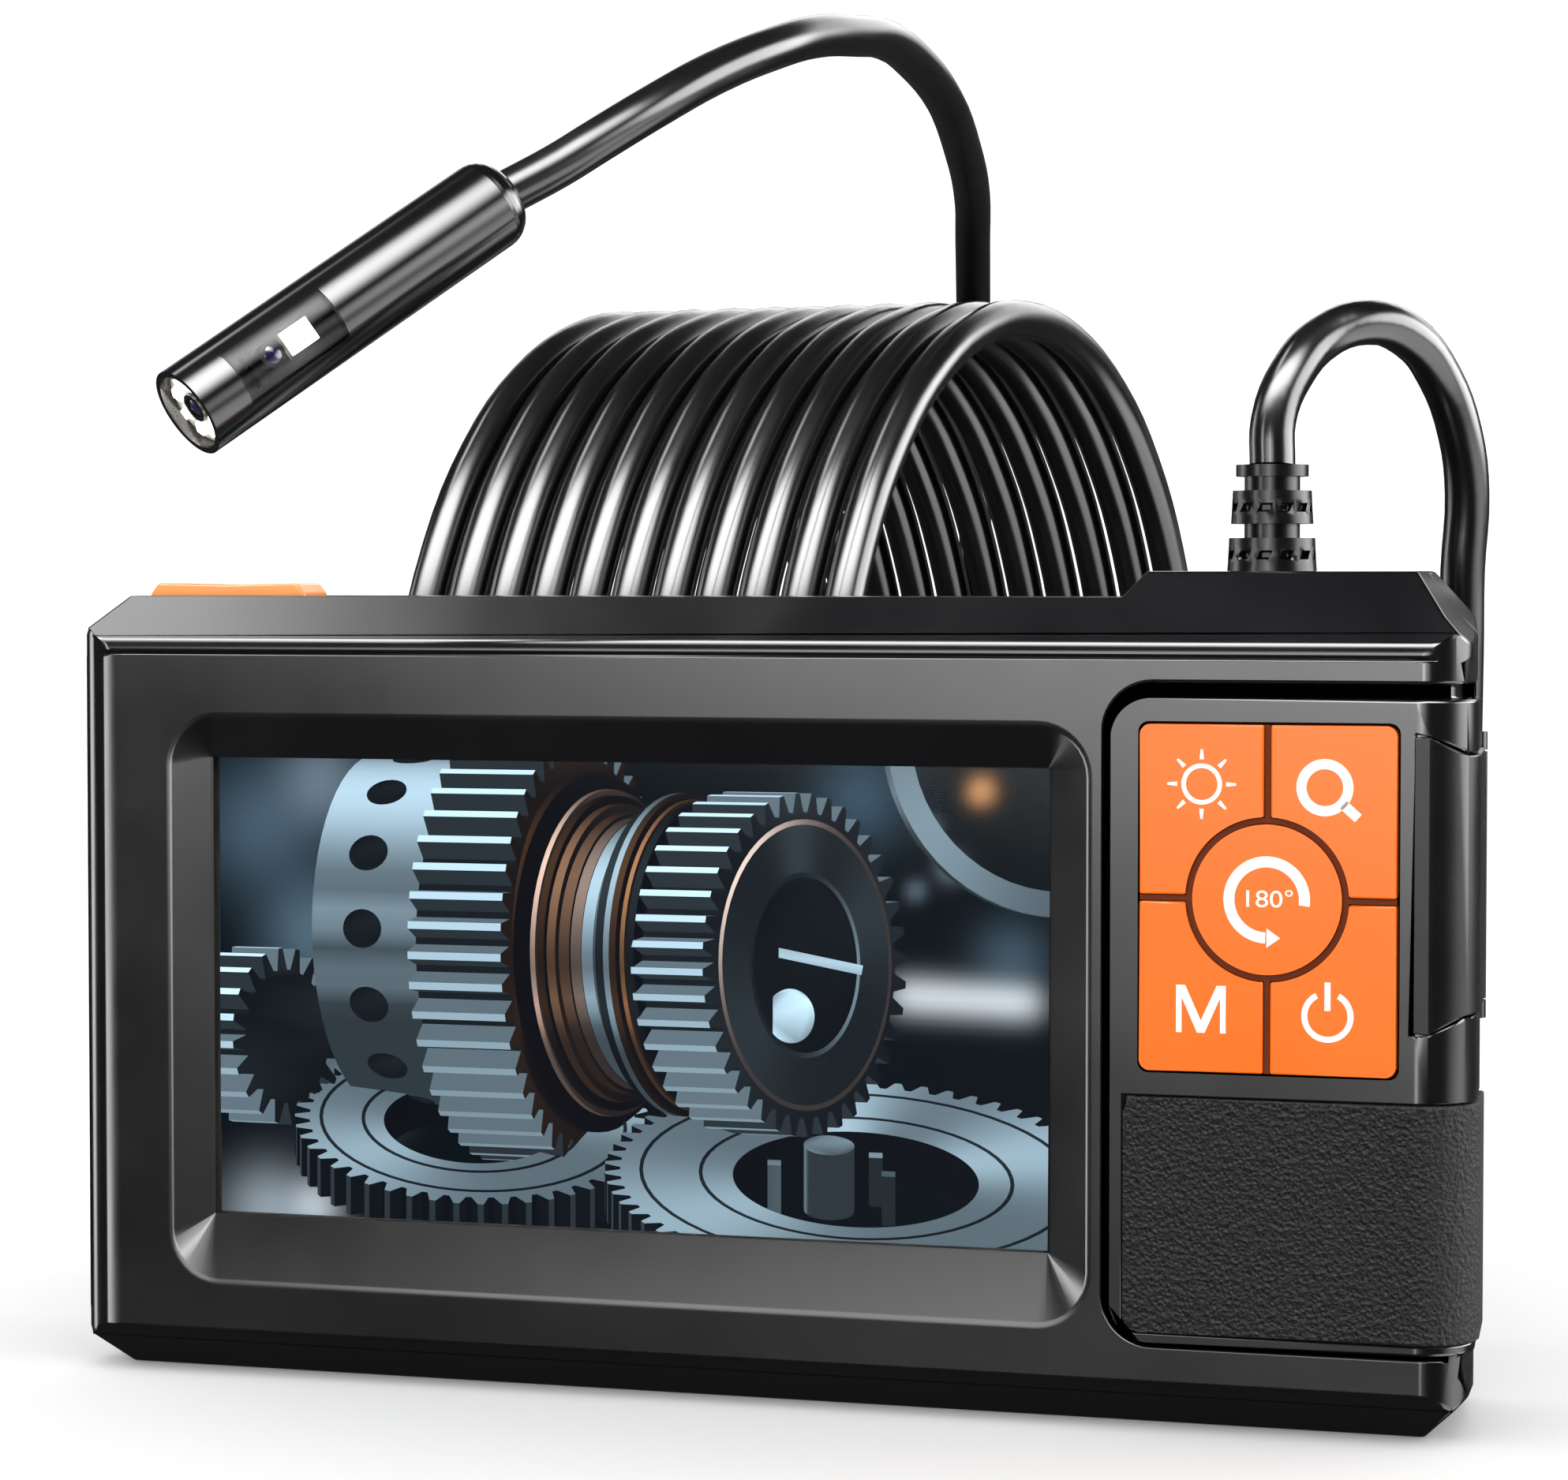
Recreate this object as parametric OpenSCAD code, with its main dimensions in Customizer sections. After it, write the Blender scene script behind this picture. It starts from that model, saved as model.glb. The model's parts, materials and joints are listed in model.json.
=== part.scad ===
// Inspection camera: a hand-held monitor with a coiled semi-rigid cable and a two-lens probe.
// The monitor stands on its bottom edge at the origin, its screen faces -Y and +Z is up.

/* [Monitor] */
// Width of the monitor
body_w = 164; // [158:1:200]
// Height of the monitor without the cable boss
body_h = 92; // [88:1:112]
// Depth of the monitor
body_d = 30; // [27:1:36]
// Wall of both housings
wall = 2.2; // [1.8:0.1:2.8]
// Cut across the four outer corners
corner_cut = 5; // [3:0.5:6]
// Chamfer along the front and back edges
edge_cut = 5.3; // [4:0.1:6]
// Run of the fillet at the foot of the top chamfer
top_fillet = 0.7; // [0.4:0.1:1]
// Radius of the upright front edges
side_r = 5; // [3:0.5:6]
// Angle by which each side leans in, from the upright front edge to the parting line
side_draft = 5.5; // [3:0.5:6]
// How far each side leans in behind the parting line
rear_draft = 2.2; // [1:0.1:2.6]
// How far the top and bottom rails stand out past the sides
rail_proud = 0.5; // [0:0.1:1]
// Depth of the front housing, from the front face to the parting line
front_d = 16; // [14:0.5:18]

/* [Screen] */
// Width of the lit screen
screen_w = 101; // [90:1:106]
// Height of the lit screen
screen_h = 54; // [46:1:56]
// Distance from the left side of the monitor to the lit screen
screen_left = 17; // [14:0.5:18]
// Height of the lit screen's lower edge
screen_low = 19; // [18:0.5:22]
// Slanted border at the left, right and top
bezel = 5; // [3:0.5:6]
// Slanted border below the screen
bezel_low = 8; // [6:0.5:9]
// Depth of the screen below the front face
bezel_d = 1.6; // [1:0.1:2]
// Corner radius of the slanted border
bezel_r = 6; // [3:0.5:8]
// Thickness of the clear screen cover
lens_t = 1.2; // [0.8:0.1:1.6]
// How far the cover reaches behind its border
lens_lap = 2; // [1.5:0.5:3]

/* [Control panel] */
// Distance from the panel's left edge to the monitor's right side
panel_w = 38.4; // [36:0.2:42]
// Height of the panel's lower edge
panel_low = 10; // [8:0.5:12]
// Height of the control panel
panel_h = 71; // [68:0.5:73]
// How far the panel stands out
panel_t = 1; // [0.6:0.1:1.6]
// Height of the open gap above the panel
gap_h = 1.7; // [1:0.1:1.8]
// Width of the open gap left of the panel
gap_w = 1; // [0.6:0.1:1.2]
// Depth of the gaps round the panel
gap_d = 1.2; // [0.6:0.1:1.4]
// Corner radius of the panel
panel_r = 4.5; // [2:0.5:6]
// Width of the keypad
pad_w = 28.2; // [24:0.2:30]
// Height of the keypad
pad_h = 38; // [32:0.5:40]
// Distance from the panel's left edge to the keypad
pad_left = 3.4; // [2.4:0.2:4.4]
// Distance from the panel's upper edge to the keypad
pad_top = 2.8; // [2:0.2:4]
// Corner radius of the keypad
pad_r = 1.2; // [0.6:0.2:2]
// Gap between keys
key_gap = 0.8; // [0.5:0.05:1]
// Radius of the round middle key
rotate_r = 8.2; // [6:0.2:9]
// How far the keys stand out past the panel
key_proud = 0.6; // [0.4:0.1:1.2]
// Travel of each key
key_travel = 0.6; // [0.3:0.1:0.6]
// Height of the rubber grip pad
grip_h = 26; // [20:0.5:28]
// How far the grip pad stands out past the panel
grip_proud = 0.5; // [0.2:0.1:1]

/* [Side flap] */
// Height of the flap's lower edge
flap_low = 45; // [44:0.5:48]
// Height of the flap
flap_h = 32; // [29:0.5:33]
// How far the flap's ends slope in towards the side
flap_slope = 2; // [1:0.1:3]
// Thickness of the flap
flap_t = 1.2; // [1:0.1:1.6]
// Radius of the flap's hinge barrel
barrel_r = 1.1; // [1:0.05:1.3]
// Radius of the flap's hinge pin
flap_pin_r = 0.5; // [0.4:0.05:0.6]

/* [Rocker key] */
// Length of the rocker key
rocker_l = 20; // [16:0.5:22]
// Width of the rocker key
rocker_w = 7; // [5:0.5:8]
// How far the rocker key stands above the top
rocker_proud = 1.5; // [1:0.1:2]
// Distance from the monitor's left side to the rocker key's middle
rocker_at = 16.6; // [15:0.2:24]
// Distance of the rocker key's middle from the front face
rocker_back = 10; // [8:0.5:10]
// Running clearance round pins
run = 0.05; // [0.02:0.01:0.08]

/* [Cable boss] */
// Height of the cable boss above the top
boss_h = 2.9; // [2:0.1:4]
// Width of the boss at its top
boss_w = 30.2; // [24:0.2:32]
// Sideways run of the boss's slopes
boss_slope = 6; // [4:0.2:7]
// Distance from the cable's middle to the monitor's right side
cable_in = 23.5; // [22:0.5:26]
// Distance from the cable's middle to the boss's left top corner
boss_left = 12.9; // [11:0.1:15]

/* [Cable] */
// Diameter of the cable
cable_d = 5.2; // [4:0.1:6]
// Height of the strain relief above the boss
relief_h = 11.9; // [10:0.1:14]
// Thickness of the strain relief round the cable at its foot
relief_t = 2.4; // [2.2:0.1:3.4]
// Outer diameter of the coil
coil_d = 132.2; // [110:0.2:140]
// Length of the coil between its first and last turn
coil_l = 66; // [50:1:74]
// Angle of the coil's axis to the monitor
coil_turn = 8; // [4:1:12]
// Distance from the monitor's middle plane to the coil's axis at its right end
coil_back = 96; // [90:1:110]
// Sideways place of the coil's right end
coil_right = 9.5; // [4:0.5:14]

/* [Probe] */
// Diameter of the probe
probe_d = 10.4; // [9.6:0.1:13]
// Length of the probe
probe_l = 47; // [44:1:56]
// Angle of the probe's axis from straight up
probe_tilt = 123; // [115:1:130]
// Turn of the probe about the upright axis
probe_turn = -130; // [-140:1:-120]
// Roll of the probe's side window
probe_roll = 12; // [0:1:30]
// Wall of the probe's shell
shell_t = 0.7; // [0.5:0.05:0.9]
// Length of the clear side window
window_l = 14; // [12:0.5:15]

/* [Attachments] */
// Height of an attachment's collar
collar_h = 5.4; // [4:0.2:7]
// Wall of an attachment's collar
collar_t = 0.9; // [0.7:0.1:1.4]
// Height of a long attachment
tool_h = 36; // [30:1:44]

/* [Hidden] */
$fn = 64;
skin = 0.01;

// Monitor planes and edges
front = -body_d / 2;
back = body_d / 2;
part_y = front + front_d;
left = -body_w / 2;
right = body_w / 2;
boss_z = body_h + boss_h;
inner_front = front + wall;
inner_back = back - wall;
part_in = (part_y - front - side_r) * tan(side_draft);
groove_z = body_h - edge_cut - 1.55;
groove_w = 0.3;
groove_d = 0.35;

// Screen planes
screen_x = left + screen_left;
lens_y = front + bezel_d;
lens_back = lens_y + lens_t;
gasket_t = 0.5;
lcd_y = lens_back + gasket_t;
lcd_t = 2.5;
tray_y = lcd_y + lcd_t;
tray_t = 0.6;
lens_x = screen_x - lens_lap;
lens_z = screen_low - lens_lap;
lens_w = screen_w + 2 * lens_lap;
lens_h = screen_h + 2 * lens_lap;
tray_x = lens_x - 0.6;
tray_z = lens_z - 0.6;
tray_w = lens_w + 1.2;
tray_h = lens_h + 1.2;
tray_ears = [for (x = [tray_x + 14, tray_x + tray_w - 14], z = [tray_z - 2.2, tray_z + tray_h + 2.2]) [x, z]];

// Control panel
panel_x = right - panel_w;
panel_y = front - panel_t;
panel_top = panel_low + panel_h;
pad_x = panel_x + pad_left;
pad_low = panel_top - pad_top - pad_h;
pad_mid_x = pad_x + pad_w / 2;
pad_mid_z = pad_low + pad_h / 2;
key_front = panel_y - key_proud;
web_t = 0.6;
web_y = inner_front;
web_lap = 1.2;
rib_gap = 0.1;
rib_low = 0.35;
pad_board_y = web_y + web_t;
pad_board_t = 1.2;
key_back = web_y - key_travel - 0.2;
dome_h = 0.3;
dome_r = 2.4;
plunger_r = 1.4;
plunger_y = pad_board_y - dome_h - key_travel - 0.1;
grip_x = panel_x + 1.6;
grip_low = panel_low + 1.2;
grip_y = panel_y - grip_proud;
grip_r = 2;
key_offset_x = pad_w / 4;
key_offset_z = pad_h / 3;
key_places = [[0, 0], for (x = [-key_offset_x, key_offset_x], z = [-key_offset_z, key_offset_z]) [x, z]];
pad_screws = [for (x = [pad_x + 3, pad_x + pad_w - 3], z = [pad_low - 2.4, pad_low + pad_h + 1.3]) [x, z]];

// Main board and what it carries
board_t = 1.6;
board_y = -4;
board_back = board_y + board_t;
board_low = 17;
board_h = body_h - 2 * board_low + 1;
board_edge = wall + 1.2;
board_screws = [for (x = [left + 10, right - 12], z = [board_low + 4, board_low + board_h - 4]) [x, z]];
post_r = 3;
screw_r = 1.2;
screw_hole_r = 1.25;
head_r = 2.3;
head_h = 1.5;
case_screws = [[left + 7, 12], [right - 7, 12], [left + 7, board_low + board_h + post_r + 0.2],
    [right - 7, body_h - wall - post_r - 0.8]];

// Battery
battery_t = 7;
battery_w = 62;
battery_h = 44;
battery_x = left + 24;
battery_z = body_h / 2 - battery_h / 2;
foam_t = 0.8;

// Side ports
usb_w = 9;
usb_h = 3.2;
usb_l = 7.4;
usb_z = flap_low + 23;
port_y = board_y - usb_h;
card_w = 11;
card_l = 15;
card_t = 1;
slot_t = 1.9;
slot_w = card_w + 3;
card_z = flap_low + 10;
card_gap = 0.2;

// Flap hinge
hinge_x = right - 0.9;
hinge_y = part_y + 2.7;
hinge_low = flap_low + flap_slope;
hinge_top = flap_low + flap_h - flap_slope;
flap_gap = 0.1;
lug_l = 2;
lug_gap = 0.2;

// Rocker key
rocker_x = left + rocker_at;
rocker_y = front + rocker_back;
rocker_pin_r = 0.8;
rocker_pin_z = body_h - wall - 1.2;
rocker_low = rocker_pin_z - 1.9;
rocker_gap = 0.35;
rocker_lug_t = 1.6;
switch_h = 2.2;
rocker_board_t = 1.2;
rocker_board_z = rocker_low - 0.35 - switch_h - rocker_board_t;

// Cable, strain relief and clamp
cable_r = cable_d / 2;
cable_x = right - cable_in;
boss_x = cable_x - boss_left;
relief_hole_r = cable_r + 1.7;
relief_neck_r = cable_r + 0.5;
relief_r = cable_r + relief_t;
relief_z = boss_z + relief_h;
relief_top_r = relief_r - 0.95;
clamp_z = boss_z - wall - 9;
clamp_w = 14;
clamp_h = 5;
clamp_ears = [cable_x - clamp_w / 2 + 2, cable_x + clamp_w / 2 - 2];
plug_t = 3.2;
plug_w = 10;
plug_z = board_low + board_h + 0.3;
plug_h = 2.5;

// Coil
coil_r = coil_d / 2;
coil_low = [coil_right, coil_back, cable_r];
coil_end = [coil_right - coil_l * cos(coil_turn), coil_back + coil_l * sin(coil_turn), cable_r];

// Probe
probe_r = probe_d / 2;
probe_tip = [-51, -50, 112];
bore_r = probe_r - shell_t;
lamp_ring_r = bore_r - 1.4;
board_face = 0.6;
side_camera_at = 10.4;
side_camera_h = bore_r - board_face - 0.3;
side_lamp_at = 15.2;
front_lens_t = 0.8;
front_seat = 1;
window_at = 5.2;
window_w = 6.4;
tail_round = 3;
tail_l = 6;
probe_tail_p = probe_tip + probe_l * [-sin(probe_tilt) * cos(probe_turn),
    -sin(probe_tilt) * sin(probe_turn), -cos(probe_tilt)];

// Attachments stand on the floor behind the monitor
tool_y = back + 16;
collar_r = probe_r + 0.1;
collar_out = collar_r + collar_t;
tool_x = [for (i = [0 : 2]) -66 + i * (2 * collar_out + 7.6)];
magnet_h = 8.4;
magnet_z = tool_h - magnet_h;
hook_r = 5.4;
wire_r = 0.6;
wire_x = -collar_r - wire_r - 0.1;

// The cable's way from the strain relief over its arch and down to the coil's first turn
LEAD_IN = [[cable_x, 0, relief_z], [cable_x, 0.5, relief_z + 5], [60, 3, 117], [63, 8, 121.5], [67, 12, 123.3],
    [71, 17, 122], [74, 22, 117.5], [76, 25, 111], [76.6, 27, 104], [76, 28, 95], [75.8, 29, 85],
    [75, 31, 65], [72, 35, 42], [64, 40, 24], [50, 46, 12], [34, 56, 5], [20, 66, cable_r + 0.2],
    [11.5, 78, cable_r], coil_low - [1, 8, 0], coil_low];

// The cable's way from the coil's last turn up behind the coil and forward to the probe
LEAD_OUT = [coil_end, coil_end + [0, 14, 0], [-56, 140, 5], [-50, 158, 14], [-40, 170, 34], [-30, 176, 60],
    [-21, 173, 86], [-17, 160, 112], [-12, 140, 134], [-8, 124, 143], [-5, 112, 148], [-2, 95, 153],
    [0, 77, 158], [0.5, 60, 161], [0.5, 46, 162], [0, 34, 161], [-1.5, 22, 159.5], [-3.5, 12, 157],
    [-8, 2, 153], [-12.5, -6, 148.5], [-17.5, -12, 144], [-21, -15.5, 141], probe_tail_p];

// ---- shared shapes ----

// A block from its low corner
module block(low, size) {
    translate(low) cube(size);
}

// A flat shape in X and Z, given depth from y0 to y1
module slab(y0, y1) {
    translate([0, y1, 0]) rotate([90, 0, 0]) linear_extrude(y1 - y0) children();
}

// A round bar along Y
module bar_y(x, z, y0, y1, r) {
    translate([x, y0, z]) rotate([-90, 0, 0]) cylinder(h = y1 - y0, r = r);
}

// A rectangle with round corners
module round_rect(x, z, w, h, r) {
    translate([x + r, z]) square([w - 2 * r, h]);
    translate([x, z + r]) square([w, h - 2 * r]);
    for (px = [x + r, x + w - r], pz = [z + r, z + h - r]) translate([px, pz]) circle(r);
}

// Quarter circle points for a rounded corner, from angle a0 over 90 degrees
function arc(cx, cy, r, a0) = [for (a = [0 : 15 : 90]) [cx + r * cos(a0 + a), cy + r * sin(a0 + a)]];

// Side view of the fillet at the foot of the top chamfer, whose corner is at depth y and height z
function foot_arc(y, z) = let (r = top_fillet / tan(22.5))
    [for (a = [45 : -15 : 0]) [y + r * (1 - cos(a)), z - top_fillet + r * sin(a)]];

// Front outline of the monitor with its corner cuts, rails and cable boss, drawn in by inset
module outline(inset) {
    c = corner_cut - inset * 0.4;
    w = body_w / 2 - inset;
    z0 = inset;
    z1 = body_h - inset;
    rail = inset > 0 ? 0 : rail_proud;
    rail_low = edge_cut + 1.2;
    rail_high = body_h - edge_cut - 1.2;
    polygon([[-w + c - rail, z0], [w - c + rail, z0], [w + rail, z0 + c], [w + rail, rail_low],
        [w, rail_low + rail], [w, rail_high - rail], [w + rail, rail_high], [w + rail, z1 - c],
        [w - c + rail, z1], [-w + c - rail, z1], [-w - rail, z1 - c], [-w - rail, rail_high],
        [-w, rail_high - rail], [-w, rail_low + rail], [-w - rail, rail_low], [-w - rail, z0 + c]]);
    polygon([[boss_x - boss_slope + inset, body_h - corner_cut - inset],
        [boss_x + inset * 0.5, boss_z - inset], [boss_x + boss_w - inset * 0.5, boss_z - inset],
        [boss_x + boss_w + boss_slope - inset, body_h - corner_cut - inset]]);
}

// The monitor's solid form between y0 and y1, drawn in by inset
module case_form(inset, y0, y1) {
    f = front + inset;
    b = back - inset;
    r = side_r - inset * 0.5;
    w = body_w / 2 + rail_proud - inset;
    e = edge_cut + inset * 0.4;
    intersection() {
        slab(y0, y1) outline(inset);
        translate([left - 5, 0, 0]) rotate([90, 0, 90]) linear_extrude(body_w + 10)
            polygon(concat([[f, e], [f + e - inset, inset], [b - e + inset, inset], [b, e], [b, body_h - e],
                [b - e - boss_h, boss_z], [f + e + boss_h, boss_z]], foot_arc(f, body_h - e)));
        linear_extrude(boss_z + 1)
            polygon(concat(arc(-w + r, f + r, r, 180), arc(w - r, f + r, r, 270),
                [[w - part_in, part_y], [w - part_in - rear_draft, b], [-w + part_in + rear_draft, b],
                [-w + part_in, part_y]]));
    }
}

// A post along Y with a screw hole
module post(x, z, y0, y1) {
    difference() {
        bar_y(x, z, y0, y1, post_r);
        bar_y(x, z, y0 - 1, y1 + 1, screw_hole_r);
    }
}

// A pan-head screw along Y whose head starts at y and whose tip points along dir
module screw(x, z, y, len, dir, r = screw_r, hr = head_r, hh = head_h) {
    translate([x, y, z]) rotate([dir > 0 ? -90 : 90, 0, 0]) difference() {
        union() {
            translate([0, 0, -hh]) cylinder(h = hh, r = hr);
            translate([0, 0, -skin]) cylinder(h = len, r = r);
        }
        translate([0, 0, -hh - 1]) for (a = [0, 90]) rotate(a)
            translate([-hr * 0.6, -hr * 0.12, 0]) cube([hr * 1.2, hr * 0.24, 1 + hh * 0.5]);
    }
}

// The screen opening: sharp-cornered at the cover, rounded and wider at the front face
module screen_recess() {
    hull() {
        slab(front - skin, front) round_rect(screen_x - bezel, screen_low - bezel_low,
            screen_w + 2 * bezel, screen_h + bezel + bezel_low, bezel_r, $fn = 32);
        slab(lens_y, lens_y + skin) translate([screen_x, screen_low]) square([screen_w, screen_h]);
    }
}

// A skin wrapped round the right front edge, standing off the case from gap to gap + t,
// from x0 on the front face to y_end on the side, between heights z0 and z1
module wrap(gap, t, x0, y_end, z0, z1) {
    cx = right - side_r;
    cy = front + side_r;
    r = side_r + gap;
    x1 = right + gap - (y_end - cy) * tan(side_draft);
    inner = arc(cx, cy, r, 270);
    translate([0, 0, z0]) linear_extrude(z1 - z0) polygon(concat(
        [[x0, front - gap], [x0, front - gap - t]], arc(cx, cy, r + t, 270),
        [[x1 + t, y_end], [x1, y_end]],
        [for (i = [len(inner) - 1 : -1 : 0]) inner[i]]));
}

// ---- monitor housings ----

module front_housing() color("#1b1c1e") {
    difference() {
        case_form(0, front - 1, part_y);
        difference() {
            case_form(wall, inner_front, part_y + 1);
            slab(front, lens_back + gasket_t) translate([lens_x - 1.5, lens_z - 1.5])
                square([lens_w + 3, lens_h + 3]);
            intersection() {
                slab(front, web_y) translate([panel_x, panel_low]) square([panel_w, panel_h]);
                case_form(0, front, part_y);
            }
        }
        screen_recess();
        slab(lens_y, part_y) translate([lens_x, lens_z]) square([lens_w, lens_h]);
        slab(front - 2, part_y - 4) translate([pad_x - 0.3, pad_low - 0.3])
            square([pad_w + 0.6, pad_h + 0.6]);
        wrap(0, panel_t + 2, panel_x, part_y + 1, panel_low, panel_top);
        wrap(-gap_d, gap_d + 2, panel_x + panel_r, part_y + 1, panel_top, panel_top + gap_h);
        slab(front - 1, front + gap_d) difference() {
            round_rect(panel_x - gap_w, panel_low - gap_w / 2, panel_w + 12, panel_h + gap_w / 2 + gap_h,
                panel_r + gap_w);
            round_rect(panel_x, panel_low, panel_w + 12, panel_h, panel_r);
        }
        slab(front - 1, front + groove_d) translate([left, groove_z]) square([body_w, groove_w]);
        for (p = pad_screws) bar_y(p[0], p[1], front + 0.4, part_y, 0.85);
        block([right - 6, port_y - 0.3, usb_z - usb_w / 2 - 0.3], [10, usb_h + 0.6, usb_w + 0.6]);
        block([right - 6, board_y - slot_t + 0.2, card_z - card_w / 2 - 0.5], [10, slot_t - 0.4, card_w + 1]);
        block([rocker_x - rocker_l / 2 - rocker_gap, rocker_y - rocker_w / 2 - rocker_gap, body_h - wall - 6],
            [rocker_l + 2 * rocker_gap, rocker_w + 2 * rocker_gap, wall + 8]);
        translate([cable_x, 0, boss_z - wall - 6]) cylinder(h = wall + 8, r = relief_hole_r);
        for (s = case_screws) bar_y(s[0], s[1], inner_front + 1, part_y + 1, screw_hole_r);
    }
    for (s = case_screws) intersection() {
        post(s[0], s[1], inner_front - skin, part_y);
        case_form(0, front, part_y);
    }
    for (s = tray_ears) difference() {
        bar_y(s[0], s[1], inner_front - skin, tray_y, 2);
        bar_y(s[0], s[1], inner_front + 0.4, tray_y + 1, 0.85);
    }
    for (y = [rocker_y - rocker_w / 2 - rocker_gap - rocker_lug_t, rocker_y + rocker_w / 2 + rocker_gap])
        difference() {
            block([rocker_x - 3.5, y, rocker_board_z + rocker_board_t],
                [7, rocker_lug_t, body_h - wall - rocker_board_z - rocker_board_t + skin]);
            bar_y(rocker_x, rocker_pin_z, y - 1, y + rocker_lug_t + 1, rocker_pin_r);
        }
}

module rear_housing() color("#17181a") {
    difference() {
        case_form(0, part_y, back + 1);
        case_form(wall, part_y - 1, inner_back);
        for (s = case_screws) bar_y(s[0], s[1], part_y - 1, back + 1, screw_hole_r);
        for (s = case_screws) bar_y(s[0], s[1], back - head_h - 0.4, back + 1, head_r + 0.3);
        translate([cable_x, 0, boss_z - wall - 6]) cylinder(h = wall + 8, r = relief_hole_r);
        block([hinge_x - barrel_r - 0.3, part_y - 1, hinge_low - lug_l - lug_gap],
            [8, hinge_y + barrel_r + 1.3 - part_y, hinge_top - hinge_low + 2 * (lug_l + lug_gap)]);
    }
    for (s = case_screws) difference() {
        intersection() {
            bar_y(s[0], s[1], part_y, back - skin, post_r);
            case_form(0, part_y, back);
        }
        bar_y(s[0], s[1], part_y - 1, back + 1, screw_hole_r);
        bar_y(s[0], s[1], back - head_h - 0.4, back + 1, head_r + 0.3);
    }
    for (s = board_screws) difference() {
        bar_y(s[0], s[1], board_back, inner_back + skin, post_r);
        bar_y(s[0], s[1], board_back - 1, board_back + 8, screw_hole_r);
    }
    difference() {
        block([cable_x - clamp_w / 2, cable_r, clamp_z], [clamp_w, inner_back - cable_r + skin, clamp_h]);
        for (x = clamp_ears) bar_y(x, clamp_z + clamp_h / 2, cable_r - 1, cable_r + 7, 0.9);
    }
    for (z = [hinge_low - lug_l, hinge_top]) difference() {
        union() {
            translate([hinge_x, hinge_y, z]) cylinder(h = lug_l, r = barrel_r);
            block([hinge_x - barrel_r - 1, hinge_y, z], [barrel_r + 1, barrel_r + 1, lug_l]);
            block([hinge_x - barrel_r - 1, hinge_y - barrel_r, z], [barrel_r + 1, barrel_r, lug_l]);
        }
        translate([hinge_x, hinge_y, z - 1]) cylinder(h = lug_l + 2, r = flap_pin_r);
    }
}

module case_screws() color("#4a4c50")
    for (s = case_screws) screw(s[0], s[1], back - head_h - 0.4, 18, -1);

// ---- screen ----

module screen_cover() color("#30363c", 0.5)
    block([lens_x + 0.1, lens_y, lens_z + 0.1], [lens_w - 0.2, lens_t, lens_h - 0.2]);

module screen_gasket() color("#101010") difference() {
    block([lens_x + 0.1, lens_back, lens_z + 0.1], [lens_w - 0.2, gasket_t, lens_h - 0.2]);
    block([screen_x, lens_back - 1, screen_low], [screen_w, gasket_t + 2, screen_h]);
}

module display_panel() color("#5b7f99")
    block([lens_x + 0.3, lcd_y, lens_z + 0.3], [lens_w - 0.6, lcd_t, lens_h - 0.6]);

module display_tray() color("#b9bcc0") difference() {
    union() {
        block([tray_x, tray_y, tray_z], [tray_w, tray_t, tray_h]);
        for (s = tray_ears) block([s[0] - 3, tray_y, s[1] - 3], [6, tray_t, 6]);
    }
    for (s = tray_ears) bar_y(s[0], s[1], tray_y - 1, tray_y + tray_t + 1, 0.9);
    for (x = [-1 : 1]) bar_y(tray_x + tray_w / 2 + x * 24, tray_z + tray_h / 2, tray_y - 1,
        tray_y + tray_t + 1, 6);
}

module tray_screws() color("#c9cacc")
    for (s = tray_ears) screw(s[0], s[1], tray_y + tray_t, 3, -1, 0.8, 1.6, 0.8);

// ---- control panel and keys ----

module control_panel() color("#232426") difference() {
    intersection() {
        wrap(0, panel_t, panel_x, part_y - 0.4, panel_low, panel_top);
        slab(panel_y - 1, part_y) round_rect(panel_x, panel_low, panel_w + 12, panel_h, panel_r);
    }
    slab(panel_y - 1, front + 1) round_rect(pad_x - 0.3, pad_low - 0.3, pad_w + 0.6, pad_h + 0.6, pad_r);
    wrap(-skin, panel_t + 1, grip_x, part_y, grip_low, grip_low + grip_h);
    slab(panel_y - 3, back) flap_outline(0.25);
    for (p = pad_screws) bar_y(p[0], p[1], panel_y + 2 * panel_t / 3, front + 1, 0.85);
}

module grip_pad() color("#1a1a1b") intersection() {
    wrap(0, panel_t + grip_proud, grip_x, part_y - 0.4, grip_low, grip_low + grip_h);
    slab(grip_y - 1, part_y) round_rect(grip_x, grip_low, panel_w + 12, grip_h, grip_r);
}

// One corner key: sx and sz say which quarter of the keypad it fills
module corner_key(sx, sz) {
    w = pad_w / 2 - key_gap / 2;
    h = pad_h / 2 - key_gap / 2;
    x0 = sx < 0 ? pad_x : pad_mid_x + key_gap / 2;
    z0 = sz < 0 ? pad_low : pad_mid_z + key_gap / 2;
    difference() {
        slab(key_front, key_back) intersection() {
            translate([x0, z0]) square([w, h]);
            round_rect(pad_x, pad_low, pad_w, pad_h, pad_r);
        }
        bar_y(pad_mid_x, pad_mid_z, key_front - 1, key_back + 1, rotate_r + key_gap);
    }
    bar_y(pad_mid_x + sx * key_offset_x, pad_mid_z + sz * key_offset_z, key_back - 0.2, plunger_y, plunger_r);
}

module key_light() color("#ff8c3c") corner_key(-1, 1);
module key_zoom() color("#ff8c3c") corner_key(1, 1);
module key_mode() color("#ff8c3c") corner_key(-1, -1);
module key_power() color("#ff8c3c") corner_key(1, -1);

module key_rotate() color("#ff8c3c") {
    bar_y(pad_mid_x, pad_mid_z, key_front, key_back, rotate_r);
    bar_y(pad_mid_x, pad_mid_z, key_back - 0.2, plunger_y, plunger_r);
}

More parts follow.
